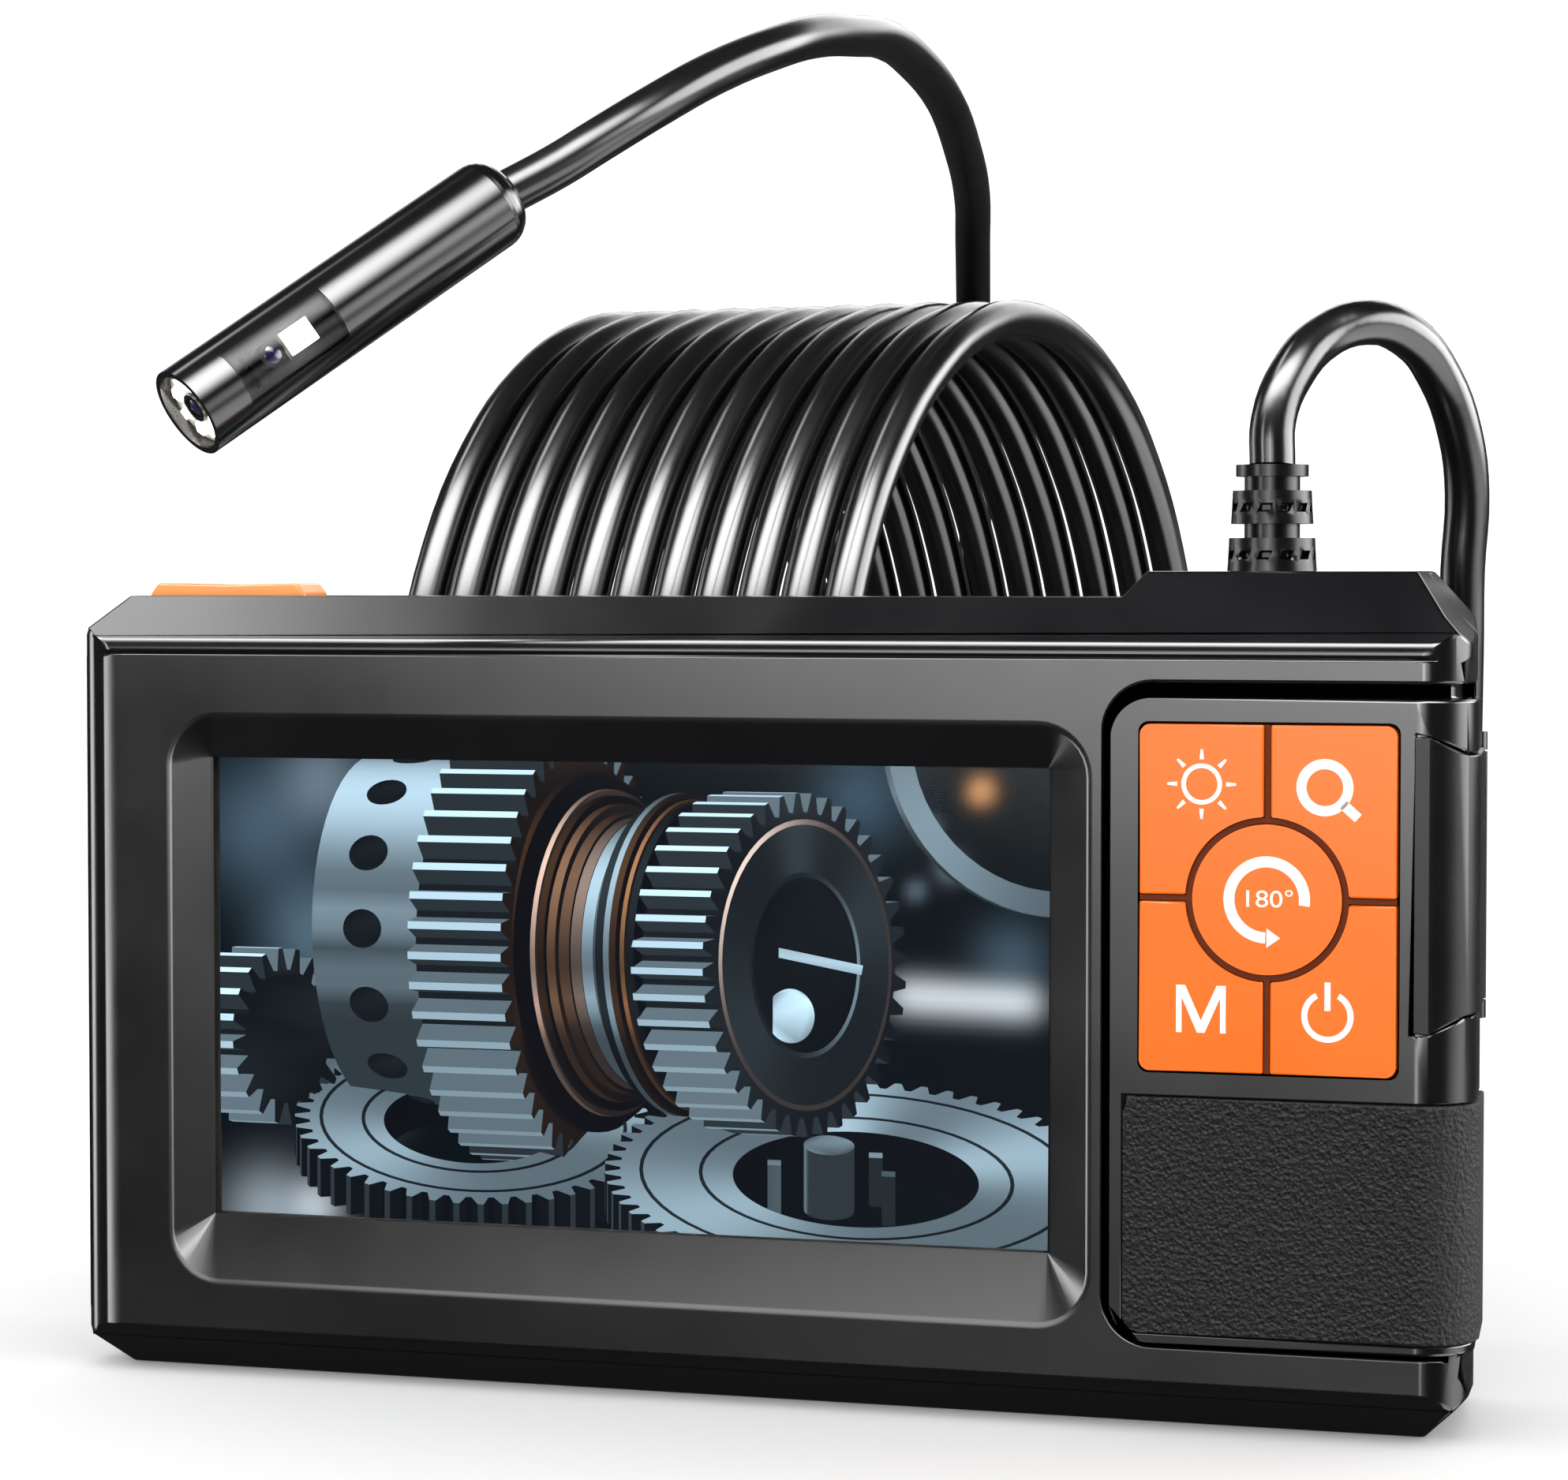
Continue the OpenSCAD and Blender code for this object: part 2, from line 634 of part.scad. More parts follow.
// Sheet behind the keys, with ribs that stand in the gaps between them
module key_web() color("#8a4018") {
    difference() {
        block([pad_x - web_lap, web_y, pad_low - 4], [pad_w + 2 * web_lap, web_t, pad_h + 6.6]);
        for (k = key_places)
            bar_y(pad_mid_x + k[0], pad_mid_z + k[1], web_y - 1, web_y + web_t + 1, dome_r + 0.4);
        for (p = pad_screws) bar_y(p[0], p[1], web_y - 1, web_y + web_t + 1, 0.9);
    }
    difference() {
        slab(key_front + rib_low, web_y + skin) {
            translate([pad_mid_x, pad_mid_z]) circle(rotate_r + key_gap - rib_gap);
            translate([pad_mid_x - key_gap / 2 + rib_gap, pad_low]) square([key_gap - 2 * rib_gap, pad_h]);
            translate([pad_x, pad_mid_z - key_gap / 2 + rib_gap]) square([pad_w, key_gap - 2 * rib_gap]);
        }
        bar_y(pad_mid_x, pad_mid_z, key_front - 1, web_y + 1, rotate_r + rib_gap);
    }
}

module keypad_board() color("#1f5f3a") difference() {
    block([pad_x - web_lap, pad_board_y, pad_low - 4], [pad_w + 2 * web_lap, pad_board_t, pad_h + 6.6]);
    for (p = pad_screws) bar_y(p[0], p[1], pad_board_y - 1, pad_board_y + pad_board_t + 1, 0.9);
}

module key_domes() color("#d0d2d4")
    for (k = key_places) bar_y(pad_mid_x + k[0], pad_mid_z + k[1], pad_board_y - dome_h, pad_board_y, dome_r);

module keypad_screws() color("#c9cacc")
    for (p = pad_screws) screw(p[0], p[1], pad_board_y + pad_board_t, 3, -1, 0.8, 1.5, 0.8);

// ---- main board, battery and ports ----

module main_board() color("#1c6b3f") difference() {
    block([left + board_edge, board_y, board_low], [body_w - 2 * board_edge, board_t, board_h]);
    for (s = board_screws) bar_y(s[0], s[1], board_y - 1, board_back + 1, screw_hole_r);
}

module board_chips() color("#202224") {
    block([screen_x + 40, board_back, body_h / 2 + 8], [14, 1, 14]);
    block([screen_x + 62, board_back, body_h / 2 - 10], [11, 1, 11]);
    block([screen_x + 80, board_back, body_h / 2 + 6], [8, 1.4, 12]);
    for (i = [0 : 5]) block([screen_x + 60 + i * 5, board_back, board_low + 8], [2, 0.9, 1.2]);
}

module board_screws() color("#c9cacc")
    for (s = board_screws) screw(s[0], s[1], board_y, 7, 1);

module battery() color("#5a7ab0") slab(inner_back - foam_t - battery_t, inner_back - foam_t)
    round_rect(battery_x, battery_z, battery_w, battery_h, 2);

module battery_pad() color("#333333")
    block([battery_x + 3, inner_back - foam_t, battery_z + 3], [battery_w - 6, foam_t, battery_h - 6]);

module usb_port() color("#c4c6c9") difference() {
    block([right - usb_l - 1, port_y, usb_z - usb_w / 2], [usb_l, usb_h, usb_w]);
    block([right - usb_l, port_y + 0.3, usb_z - usb_w / 2 + 0.3], [usb_l, usb_h - 0.6, usb_w - 0.6]);
}

module card_slot() color("#c4c6c9") difference() {
    block([right - wall - card_l - 0.2, board_y - slot_t, card_z - slot_w / 2], [card_l, slot_t, slot_w]);
    block([right - wall - card_l + 0.6, board_y - slot_t + 0.3, card_z - card_w / 2 - card_gap],
        [card_l, card_t + 2 * card_gap, card_w + 2 * card_gap]);
}

module memory_card() color("#2a2d33")
    block([right - card_l - 1, board_y - slot_t + 0.3 + card_gap, card_z - card_w / 2],
        [card_l, card_t, card_w]);

// The flap seen from the front, whose ends slope in towards the side, grown by a margin
module flap_outline(grow) {
    low = flap_low - grow;
    top = flap_low + flap_h + grow;
    x0 = right - side_r - grow;
    polygon([[x0, low], [x0 + 1.6, low], [right + 0.4, low + flap_slope], [right + 9, low + flap_slope],
        [right + 9, top - flap_slope], [right + 0.4, top - flap_slope], [x0 + 1.6, top], [x0, top]]);
}

// The flap and its barrel, with the hinge pin's hole
module port_flap() color("#202123") difference() {
    union() {
        intersection() {
            wrap(flap_gap, flap_t, right - side_r, hinge_y, flap_low, flap_low + flap_h);
            slab(panel_y - 3, back) flap_outline(0);
        }
        translate([hinge_x, hinge_y, hinge_low + lug_gap])
            cylinder(h = hinge_top - hinge_low - 2 * lug_gap, r = barrel_r);
    }
    translate([hinge_x, hinge_y, flap_low - 1]) cylinder(h = flap_h + 2, r = flap_pin_r + run);
    for (z = [hinge_low - 1, hinge_top - lug_gap])
        block([hinge_x - 2, hinge_y - barrel_r - 0.4, z], [5, 4, 1 + lug_gap]);
}

module flap_pin() color("#c9cacc") translate([hinge_x, hinge_y, hinge_low - lug_l])
    cylinder(h = hinge_top - hinge_low + 2 * lug_l, r = flap_pin_r);

// ---- rocker key ----

module rocker_key() color("#ffa055") difference() {
    slab(rocker_y - rocker_w / 2, rocker_y + rocker_w / 2) polygon([
        [rocker_x - rocker_l / 2, rocker_low + 0.5], [rocker_x, rocker_low - 0.5],
        [rocker_x + rocker_l / 2, rocker_low + 0.5], [rocker_x + rocker_l / 2, body_h + 0.2],
        [rocker_x + rocker_l / 2 - 1, body_h + rocker_proud], [rocker_x, body_h + rocker_proud - 0.2],
        [rocker_x - rocker_l / 2 + 1, body_h + rocker_proud], [rocker_x - rocker_l / 2, body_h + 0.2]]);
    bar_y(rocker_x, rocker_pin_z, rocker_y - rocker_w, rocker_y + rocker_w, rocker_pin_r + run);
}

module rocker_pin() color("#c9cacc") bar_y(rocker_x, rocker_pin_z,
    rocker_y - rocker_w / 2 - rocker_gap - rocker_lug_t, rocker_y + rocker_w / 2 + rocker_gap + rocker_lug_t,
    rocker_pin_r);

module rocker_board() color("#1c6b3f") block([rocker_x - rocker_l / 2, rocker_y - rocker_w / 2 - 1.6,
    rocker_board_z], [rocker_l, rocker_w + 3.2, rocker_board_t]);

module rocker_switches() color("#55585c") for (s = [-1, 1]) {
    block([rocker_x + s * (rocker_l / 2 - 3) - 2, rocker_y - 2, rocker_board_z + rocker_board_t],
        [4, 4, switch_h - 0.7]);
    translate([rocker_x + s * (rocker_l / 2 - 3), rocker_y, rocker_board_z + rocker_board_t])
        cylinder(h = switch_h, r = 1);
}

// ---- cable entry ----

// Ribbed sleeve: a foot inside the case, a neck in the hole, and two ribs and a cap outside
module strain_relief() color("#1a1a1c") difference() {
    union() {
        translate([cable_x, 0, boss_z - wall]) rotate_extrude() polygon([[0, 0], [relief_hole_r - 0.05, 0],
            [relief_hole_r - 0.05, wall], [relief_r, wall], [relief_r - 0.2, wall + 3.7],
            [relief_neck_r, wall + 3.7], [relief_neck_r, wall + 5.3], [relief_r - 0.4, wall + 5.3],
            [relief_r - 0.6, wall + 9], [relief_neck_r, wall + 9],
            [relief_neck_r, wall + 10.6], [relief_top_r, wall + 10.6], [relief_top_r, wall + relief_h],
            [0, wall + relief_h]]);
        translate([cable_x, 0, boss_z - wall - 1.5]) cylinder(h = 1.5 + skin, r = relief_r + 0.4);
    }
    translate([cable_x, 0, boss_z - wall - 5]) cylinder(h = relief_h + 12, r = cable_r);
    for (z = [1.3, 6.6], a = [0 : 30 : 330]) translate([cable_x, 0, boss_z + z]) rotate(a)
        block([3.6, -0.7, 0], [3, 1.4, 1]);
}

module cable_core() color("#0d0d0e") translate([cable_x, 0, plug_z + plug_h])
    cylinder(h = relief_z - plug_z - plug_h, r = cable_r);

module cable_clamp() color("#9a9da1") difference() {
    block([cable_x - clamp_w / 2, -cable_r - 1.2, clamp_z], [clamp_w, 2 * cable_r + 1.2, clamp_h]);
    translate([cable_x, 0, clamp_z - 1]) cylinder(h = clamp_h + 2, r = cable_r);
    block([cable_x - cable_r, 0, clamp_z - 1], [cable_d, cable_r + 1, clamp_h + 2]);
    for (x = clamp_ears) bar_y(x, clamp_z + clamp_h / 2, -cable_r - 2, cable_r + 1, 0.9);
}

module clamp_screws() color("#c9cacc")
    for (x = clamp_ears) screw(x, clamp_z + clamp_h / 2, -cable_r - 1.2, 9, 1, 0.85, 1.7, 0.9);

module cable_plug() color("#d8d6cc") {
    block([cable_x - plug_w / 2, board_y - plug_t, plug_z - 7], [plug_w, plug_t, 7]);
    block([cable_x - plug_w / 2, board_y - plug_t, plug_z - skin],
        [plug_w, plug_t - board_y + 1.5, plug_h + skin]);
}

// ---- cable ----

// Smooth curve through the points p: place and direction at fraction t of span i
function at(p, i) = p[min(max(i, 0), len(p) - 1)];
function spline(p, i, t) = let (a = at(p, i - 1), b = at(p, i), c = at(p, i + 1), d = at(p, i + 2))
    0.5 * (2 * b + (c - a) * t + (2 * a - 5 * b + 4 * c - d) * t * t + (3 * b - a - 3 * c + d) * t * t * t);
function unit(v) = v / norm(v);

// A round tube along the points p, cut flat at both ends
module tube(p, r, steps, sides, first, last) {
    path = [for (i = [0 : len(p) - 2], s = [0 : steps - 1]) spline(p, i, s / steps), p[len(p) - 1]];
    n = len(path);
    rings = [for (i = [0 : n - 1]) let (
            d = i == 0 ? first : i == n - 1 ? last : unit(path[i + 1] - path[i - 1]),
            u = unit(cross([1, 0.21, 0.13], d)), v = cross(d, u))
        for (k = [0 : sides - 1]) path[i] + r * (cos(k * 360 / sides) * u + sin(k * 360 / sides) * v)];
    caps = [[for (k = [0 : sides - 1]) k], [for (k = [sides - 1 : -1 : 0]) (n - 1) * sides + k]];
    walls = [for (i = [0 : n - 2], k = [0 : sides - 1]) let (j = (k + 1) % sides)
        [i * sides + k, (i + 1) * sides + k, (i + 1) * sides + j, i * sides + j]];
    polyhedron(points = rings, faces = concat(caps, walls), convexity = 6);
}

module cable_lead_in() color("#0b0b0c")
    tube(LEAD_IN, cable_r, 2, 10, [0, 0, 1], [sin(coil_turn), cos(coil_turn), 0]);

// Outer form of the wound cable: a round sleeve one cable thick
module cable_coil() color("#0b0b0c") translate([coil_right, coil_back, coil_r]) rotate([0, 0, -coil_turn])
    rotate([0, -90, 0]) translate([0, 0, -cable_r]) rotate_extrude($fn = 120)
        translate([coil_r - cable_d, 0]) square([cable_d, coil_l + cable_d]);

module cable_lead_out() color("#0b0b0c")
    tube(LEAD_OUT, cable_r, 2, 10, [sin(coil_turn), cos(coil_turn), 0], unit(probe_tip - probe_tail_p));

// ---- probe, built along +Z with its tip at the origin and its side window towards +Y ----

module place_probe() translate(probe_tip) rotate([0, probe_tilt, probe_turn]) rotate([0, 0, probe_roll])
    children();

module probe_shell() color("#131416") place_probe() difference() {
    translate([0, 0, tail_l - probe_l]) cylinder(h = probe_l - tail_l, r = probe_r);
    translate([0, 0, tail_l - probe_l - 1]) cylinder(h = probe_l - tail_l + 2, r = probe_r - shell_t);
    translate([-window_w / 2, 0, -window_at - window_l]) cube([window_w, probe_r + 1, window_l]);
}

// Rounded end that closes the shell and grips the cable
module probe_tail() color("#131416") place_probe() translate([0, 0, -probe_l]) difference() {
    union() {
        rotate_extrude() polygon(concat([[0, tail_l], [0, 0], [probe_r - tail_round, 0]],
            [for (a = [10 : 10 : 90])
                [probe_r - tail_round + tail_round * sin(a), tail_round - tail_round * cos(a)]],
            [[probe_r, tail_l]]));
        translate([0, 0, tail_l - skin]) cylinder(h = 3, r = probe_r - shell_t);
    }
    translate([-3, -board_face - 0.05, tail_l - 2]) cube([6, 2 * board_face + 0.1, 6]);
}

module probe_seal() color("#303236") place_probe() translate([0, 0, -front_lens_t - front_seat - 1])
    rotate_extrude() translate([probe_r - shell_t - 0.6, 0]) square([0.6, 1]);

module front_window() color("#dfe8f2", 0.4) place_probe() translate([0, 0, -front_lens_t])
    cylinder(h = front_lens_t - 0.1, r = probe_r - shell_t);

// Ring board with eight small lamps round the camera
module front_lamps() color("#fff6d8") place_probe() translate([0, 0, -front_lens_t]) {
    difference() {
        translate([0, 0, -front_seat]) cylinder(h = 0.4, r = probe_r - shell_t - 0.05);
        translate([0, 0, -front_seat - 1]) cylinder(h = 3, r = 2);
    }
    for (i = [0 : 7]) rotate(i * 45) translate([lamp_ring_r - 0.7, -0.55, 0.4 - front_seat - skin])
        cube([1.4, 1.1, 0.5]);
}

module front_camera() color("#22242c") place_probe() translate([0, 0, -front_lens_t - 4]) difference() {
    union() {
        cylinder(h = 3.9, r = 1.7);
        translate([-2.2, -2.2, -1]) cube([4.4, 4.4, 3]);
    }
    translate([0, 0, 3.5]) cylinder(h = 1, r = 1.1);
}

module side_window() color("#c8d4de", 0.35) place_probe() intersection() {
    difference() {
        translate([0, 0, -window_at - window_l + 0.05]) cylinder(h = window_l - 0.1, r = probe_r - 0.05);
        translate([0, 0, -window_at - window_l - 1]) cylinder(h = window_l + 2, r = probe_r - shell_t + 0.05);
    }
    translate([-window_w / 2 + 0.05, 0, -window_at - window_l]) cube([window_w - 0.1, probe_r, window_l]);
}

module probe_board() color("#1c6b3f") place_probe()
    translate([-2.9, -board_face, 4.2 - probe_l])
        cube([5.8, 2 * board_face, probe_l - 4.2 - front_lens_t - 5.05]);

module side_camera() color("#22242c") place_probe() translate([0, board_face, -side_camera_at]) {
    translate([-2.2, 0, -2.2]) cube([4.4, 1.6, 4.4]);
    rotate([-90, 0, 0]) difference() {
        cylinder(h = side_camera_h, r = 1.5);
        translate([0, 0, side_camera_h - 0.5]) cylinder(h = 1, r = 1);
    }
}

module side_lamp() color("#fffbe6") place_probe() translate([-1.4, board_face, -side_lamp_at - 1.4])
    cube([2.8, 2.4, 2.8]);

// ---- attachments ----

// Collar that clips round the probe's tip
module collar() {
    difference() {
        cylinder(h = collar_h, r = collar_out);
        translate([0, 0, -1]) cylinder(h = collar_h + 2, r = collar_r);
    }
}

module magnet_stalk() color("#151517") translate([tool_x[0], tool_y, 0]) {
    collar();
    block([-collar_out, -1.5, collar_h - 2], [collar_t, 3, magnet_z - collar_h + 2]);
    block([-collar_out, -1.5, magnet_z - 0.8], [collar_out + 3, 3, 0.8]);
}

module magnet() color("#2a2b2e") translate([tool_x[0], tool_y, magnet_z]) {
    cylinder(h = magnet_h - 1, r = collar_out);
    translate([0, 0, magnet_h - 1 - skin]) cylinder(h = 1 + skin, r = collar_out - 1);
}

module hook() color("#151517") translate([tool_x[1], tool_y, 0]) {
    collar();
    translate([wire_x, 0, 1]) cylinder(h = tool_h - hook_r - wire_r - 1, r = wire_r);
    translate([wire_x + hook_r, 0, tool_h - hook_r - wire_r]) rotate([90, 0, 0])
        rotate_extrude(angle = 180) translate([hook_r, 0]) circle(wire_r);
    translate([wire_x + 2 * hook_r, 0, tool_h - hook_r - wire_r - 2]) cylinder(h = 2 + skin, r = wire_r);
}

module end_ring() color("#151517") translate([tool_x[2], tool_y, 0]) collar();

front_housing();
rear_housing();
screen_cover();
screen_gasket();
display_panel();
display_tray();
tray_screws();
control_panel();
grip_pad();
key_light();
key_zoom();
key_mode();
key_power();
key_rotate();
key_web();
keypad_board();
key_domes();
keypad_screws();
main_board();
board_chips();
board_screws();
battery();
battery_pad();
usb_port();
card_slot();
memory_card();
port_flap();
flap_pin();
rocker_key();
rocker_pin();
rocker_board();
rocker_switches();
case_screws();
strain_relief();
cable_core();
cable_clamp();
clamp_screws();
cable_plug();
cable_lead_in();
cable_coil();
cable_lead_out();
probe_shell();
probe_tail();
front_window();
front_camera();
front_lamps();
side_window();
side_camera();
side_lamp();
probe_board();
probe_seal();
magnet_stalk();
magnet();
hook();
end_ring();
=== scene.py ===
"""The shown pieces of a hand-held inspection camera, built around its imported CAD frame."""

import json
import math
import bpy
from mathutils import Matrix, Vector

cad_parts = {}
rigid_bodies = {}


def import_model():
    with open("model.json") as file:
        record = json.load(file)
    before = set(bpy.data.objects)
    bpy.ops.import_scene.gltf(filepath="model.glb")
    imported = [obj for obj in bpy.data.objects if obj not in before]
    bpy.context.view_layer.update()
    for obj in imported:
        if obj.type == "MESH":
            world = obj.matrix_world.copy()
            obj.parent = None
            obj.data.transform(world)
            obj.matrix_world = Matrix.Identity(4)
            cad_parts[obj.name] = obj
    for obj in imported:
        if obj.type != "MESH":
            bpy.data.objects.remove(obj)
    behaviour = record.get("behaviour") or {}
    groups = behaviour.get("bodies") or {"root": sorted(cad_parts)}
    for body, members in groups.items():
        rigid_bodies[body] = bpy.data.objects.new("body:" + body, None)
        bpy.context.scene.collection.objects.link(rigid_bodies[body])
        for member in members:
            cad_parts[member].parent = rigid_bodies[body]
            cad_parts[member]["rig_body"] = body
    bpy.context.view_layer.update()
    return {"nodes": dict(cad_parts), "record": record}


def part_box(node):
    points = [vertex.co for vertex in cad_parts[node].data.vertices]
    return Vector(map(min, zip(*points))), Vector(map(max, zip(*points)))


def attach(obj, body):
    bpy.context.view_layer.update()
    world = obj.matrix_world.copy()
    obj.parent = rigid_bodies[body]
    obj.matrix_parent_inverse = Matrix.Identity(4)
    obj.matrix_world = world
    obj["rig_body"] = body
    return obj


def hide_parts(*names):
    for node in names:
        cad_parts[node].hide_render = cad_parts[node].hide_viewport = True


bl_info = {
    "name": "Inspection camera",
    "version": (1, 0, 0),
    "blender": (4, 5, 0),
    "location": "3D View > Sidebar > Inspection camera",
    "description": "Builds the monitor, keypad, coiled cable and lit probe of an inspection camera",
    "category": "Object",
}

import bmesh
import bpy
from bpy.props import FloatProperty, FloatVectorProperty, IntProperty, PointerProperty
from mathutils import Matrix, Vector

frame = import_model()

MM = 0.001
NODES = frame["nodes"]
BOX = {name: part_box(name) for name in NODES}
SLOTS = {part["node"]: part["material_slot"] for part in frame["record"]["subparts"]}

# The cable's way from the strain relief over its arch and down to the coil's first turn, in mm
LEAD_IN = [(58.5, 0, 106.8), (58.5, 0.5, 111.8), (60, 3, 117), (63, 8, 121.5), (67, 12, 123.3), (71, 17, 122),
    (74, 22, 117.5), (76, 25, 111), (76.6, 27, 104), (76, 28, 95), (75.8, 29, 85), (75, 31, 65),
    (72, 35, 42), (64, 40, 24), (50, 46, 12), (34, 56, 5), (20, 66, 2.8), (11.5, 78, 2.6), (8.5, 88, 2.6)]
# The cable's way from the coil's last turn up behind the coil and forward to the probe, in mm
LEAD_OUT = [(-55.86, 119.19, 2.6), (-56, 140, 5), (-50, 158, 14), (-40, 170, 34), (-30, 176, 60),
    (-21, 173, 86), (-17, 160, 112), (-12, 140, 134), (-8, 124, 143), (-5, 112, 148), (-2, 95, 153),
    (0, 77, 158), (0.5, 60, 161), (0.5, 46, 162), (0, 34, 161), (-1.5, 22, 159.5), (-3.5, 12, 157),
    (-8, 2, 153), (-12.5, -6, 148.5), (-17.5, -12, 144), (-21, -15.5, 141)]

# The coil: how far its axis is turned from -X, in degrees, where it starts on that axis in X and Y, how far
# it runs, in mm, and the curve's knots on each turn
COIL_TURN = 8
COIL_START = (9.5, 96)
COIL_RUN = 66.0
KNOTS_PER_TURN = 24

# The probe's tip, its length in mm, and the turn of its own frame, whose Z axis points out of the tip
PROBE_TIP = Vector((-51, -50, 112))
PROBE_LENGTH = 47.0
PROBE_TURN = Matrix.Rotation(math.radians(-130), 4, "Z") @ Matrix.Rotation(math.radians(123), 4, "Y") \
    @ Matrix.Rotation(math.radians(12), 4, "Z")
FRONT_LAMPS = 8

# The camera's place in metres, how far it looks down and how far it is turned to its left, in degrees
CAMERA_PLACE = (0.1431, -0.4651, 0.0943)
CAMERA_DOWN = 2.24
CAMERA_TURN = 16.96

# Nodes with a finish of their own in place of their slot's; the key web's is painted shade
OWN_FINISH = {"key_web": "key_seam", "probe_board": "probe_board"}

# The widest rounding of an edge as a multiple of the width asked for, and the share of it that the rails
# along the top and down the left side get
WIDEST_ROUND = 3
RAIL_ROUND = 0.85
# A long edge in mm, the bends of a sharp and of a shallow edge in degrees, and the part of its normal along Y
# that makes a face flat
LONG_EDGE = 40
SHARP_BEND = 32
SHALLOW_BEND = 9.5
FLAT = 0.999


def linear(code):
    """Linear colour of an sRGB hex value."""
    parts = [int(code[i:i + 2], 16) / 255 for i in (1, 3, 5)]
    return tuple(c / 12.92 if c <= 0.04045 else ((c + 0.055) / 1.055) ** 2.4 for c in parts) + (1.0,)


# ---- sizes and colours a user would change ----

class CaseSettings(bpy.types.PropertyGroup):
    edge_round: FloatProperty(name="Edge round", description="Rounding of the moulded edges, in mm",
        default=0.35, min=0.05, max=0.8)
    case_colour: FloatVectorProperty(name="Case colour", description="Colour of the moulded case",
        subtype="COLOR", size=4, min=0, max=1, default=linear("#0E0E10"))


class KeySettings(bpy.types.PropertyGroup):
    key_round: FloatProperty(name="Key round", description="Rounding of the keys' edges, in mm",
        default=0.2, min=0.05, max=0.5)
    print_height: FloatProperty(name="Print height", description="How far the white marks stand out, in mm",
        default=0.04, min=0.01, max=0.2)
    key_colour: FloatVectorProperty(name="Key colour", description="Colour of the silicone keys",
        subtype="COLOR", size=4, min=0, max=1, default=linear("#FF7010"))
    mark_colour: FloatVectorProperty(name="Mark colour", description="Colour of the printed marks",
        subtype="COLOR", size=4, min=0, max=1, default=linear("#FBF6EE"))


class CableSettings(bpy.types.PropertyGroup):
    diameter: FloatProperty(name="Cable diameter", description="Outer diameter of the cable",
        default=0.0052, min=0.003, max=0.007, unit="LENGTH")
    coil_radius: FloatProperty(name="Coil radius", description="From the coil's axis to the cable's middle",
        default=0.0635, min=0.03, max=0.08, unit="LENGTH")
    turns: IntProperty(name="Turns", description="Turns in the coil", default=11, min=4, max=14)
    length: FloatProperty(name="Cable length", description="Real length of the cable",
        default=5.0, min=1, max=10, unit="LENGTH")


class StageSettings(bpy.types.PropertyGroup):
    lens: FloatProperty(name="Lens", description="Focal length of the camera, in mm",
        default=96.0, min=35, max=200)
    light: FloatProperty(name="Light", description="Brightness of the surroundings",
        default=1.0, min=0, max=5)
    floor_colour: FloatVectorProperty(name="Floor colour", description="Colour of the floor",
        subtype="COLOR", size=4, min=0, max=1, default=linear("#FBFBFB"))


# ---- materials ----

def add_node(tree, kind, inputs=None, **settings):
    """Adds a node with its own settings, and its sockets' values or links."""
    node = tree.nodes.new(kind)
    for name, value in settings.items():
        setattr(node, name, value)
    for socket, value in (inputs or {}).items():
        if isinstance(value, bpy.types.NodeSocket):
            tree.links.new(value, node.inputs[socket])
        else:
            node.inputs[socket].default_value = value
    return node


def new_material(name):
    """An empty node material and its tree."""
    made = bpy.data.materials.new(name)
    made.use_nodes = True
    made.node_tree.nodes.clear()
    return made, made.node_tree


def surface(tree, shader):
    """Links the shader to the material's output."""
    add_node(tree, "ShaderNodeOutputMaterial", {"Surface": shader.outputs[0]})


def moulded(name, colour, roughness, grain=0.4, depth=0.004, mottle=0.12, cloud=14.0, **sockets):
    """A surface with fine grain and slow clouds in its colour and polish. Sizes are in mm."""
    made, tree = new_material(name)
    place = add_node(tree, "ShaderNodeTexCoord").outputs["Object"]
    clouds = add_node(tree, "ShaderNodeTexNoise", {"Vector": place, "Scale": 1 / (cloud * MM), "Detail": 4.0})
    grains = add_node(tree, "ShaderNodeTexNoise", {"Vector": place, "Scale": 1 / (grain * MM), "Detail": 2.0})
    dark = [c * (1 - mottle) for c in colour[:3]] + [1.0]
    pale = [min(1.0, c * (1 + mottle)) for c in colour[:3]] + [1.0]
    tint = add_node(tree, "ShaderNodeMix", {0: clouds.outputs["Fac"], 6: dark, 7: pale}, data_type="RGBA")
    polish = add_node(tree, "ShaderNodeMapRange", {"Value": clouds.outputs["Fac"], "From Min": 0.3,
        "From Max": 0.7, "To Min": roughness * 0.88, "To Max": min(1.0, roughness * 1.12)})
    bump = add_node(tree, "ShaderNodeBump", {"Height": grains.outputs["Fac"], "Distance": depth * MM,
        "Strength": 0.6})
    shader = add_node(tree, "ShaderNodeBsdfPrincipled", {"Base Color": tint.outputs[2],
        "Roughness": polish.outputs["Result"], "Normal": bump.outputs["Normal"]})
    for socket, value in sockets.items():
        shader.inputs[socket.replace("_", " ")].default_value = value
    surface(tree, shader)
    return made


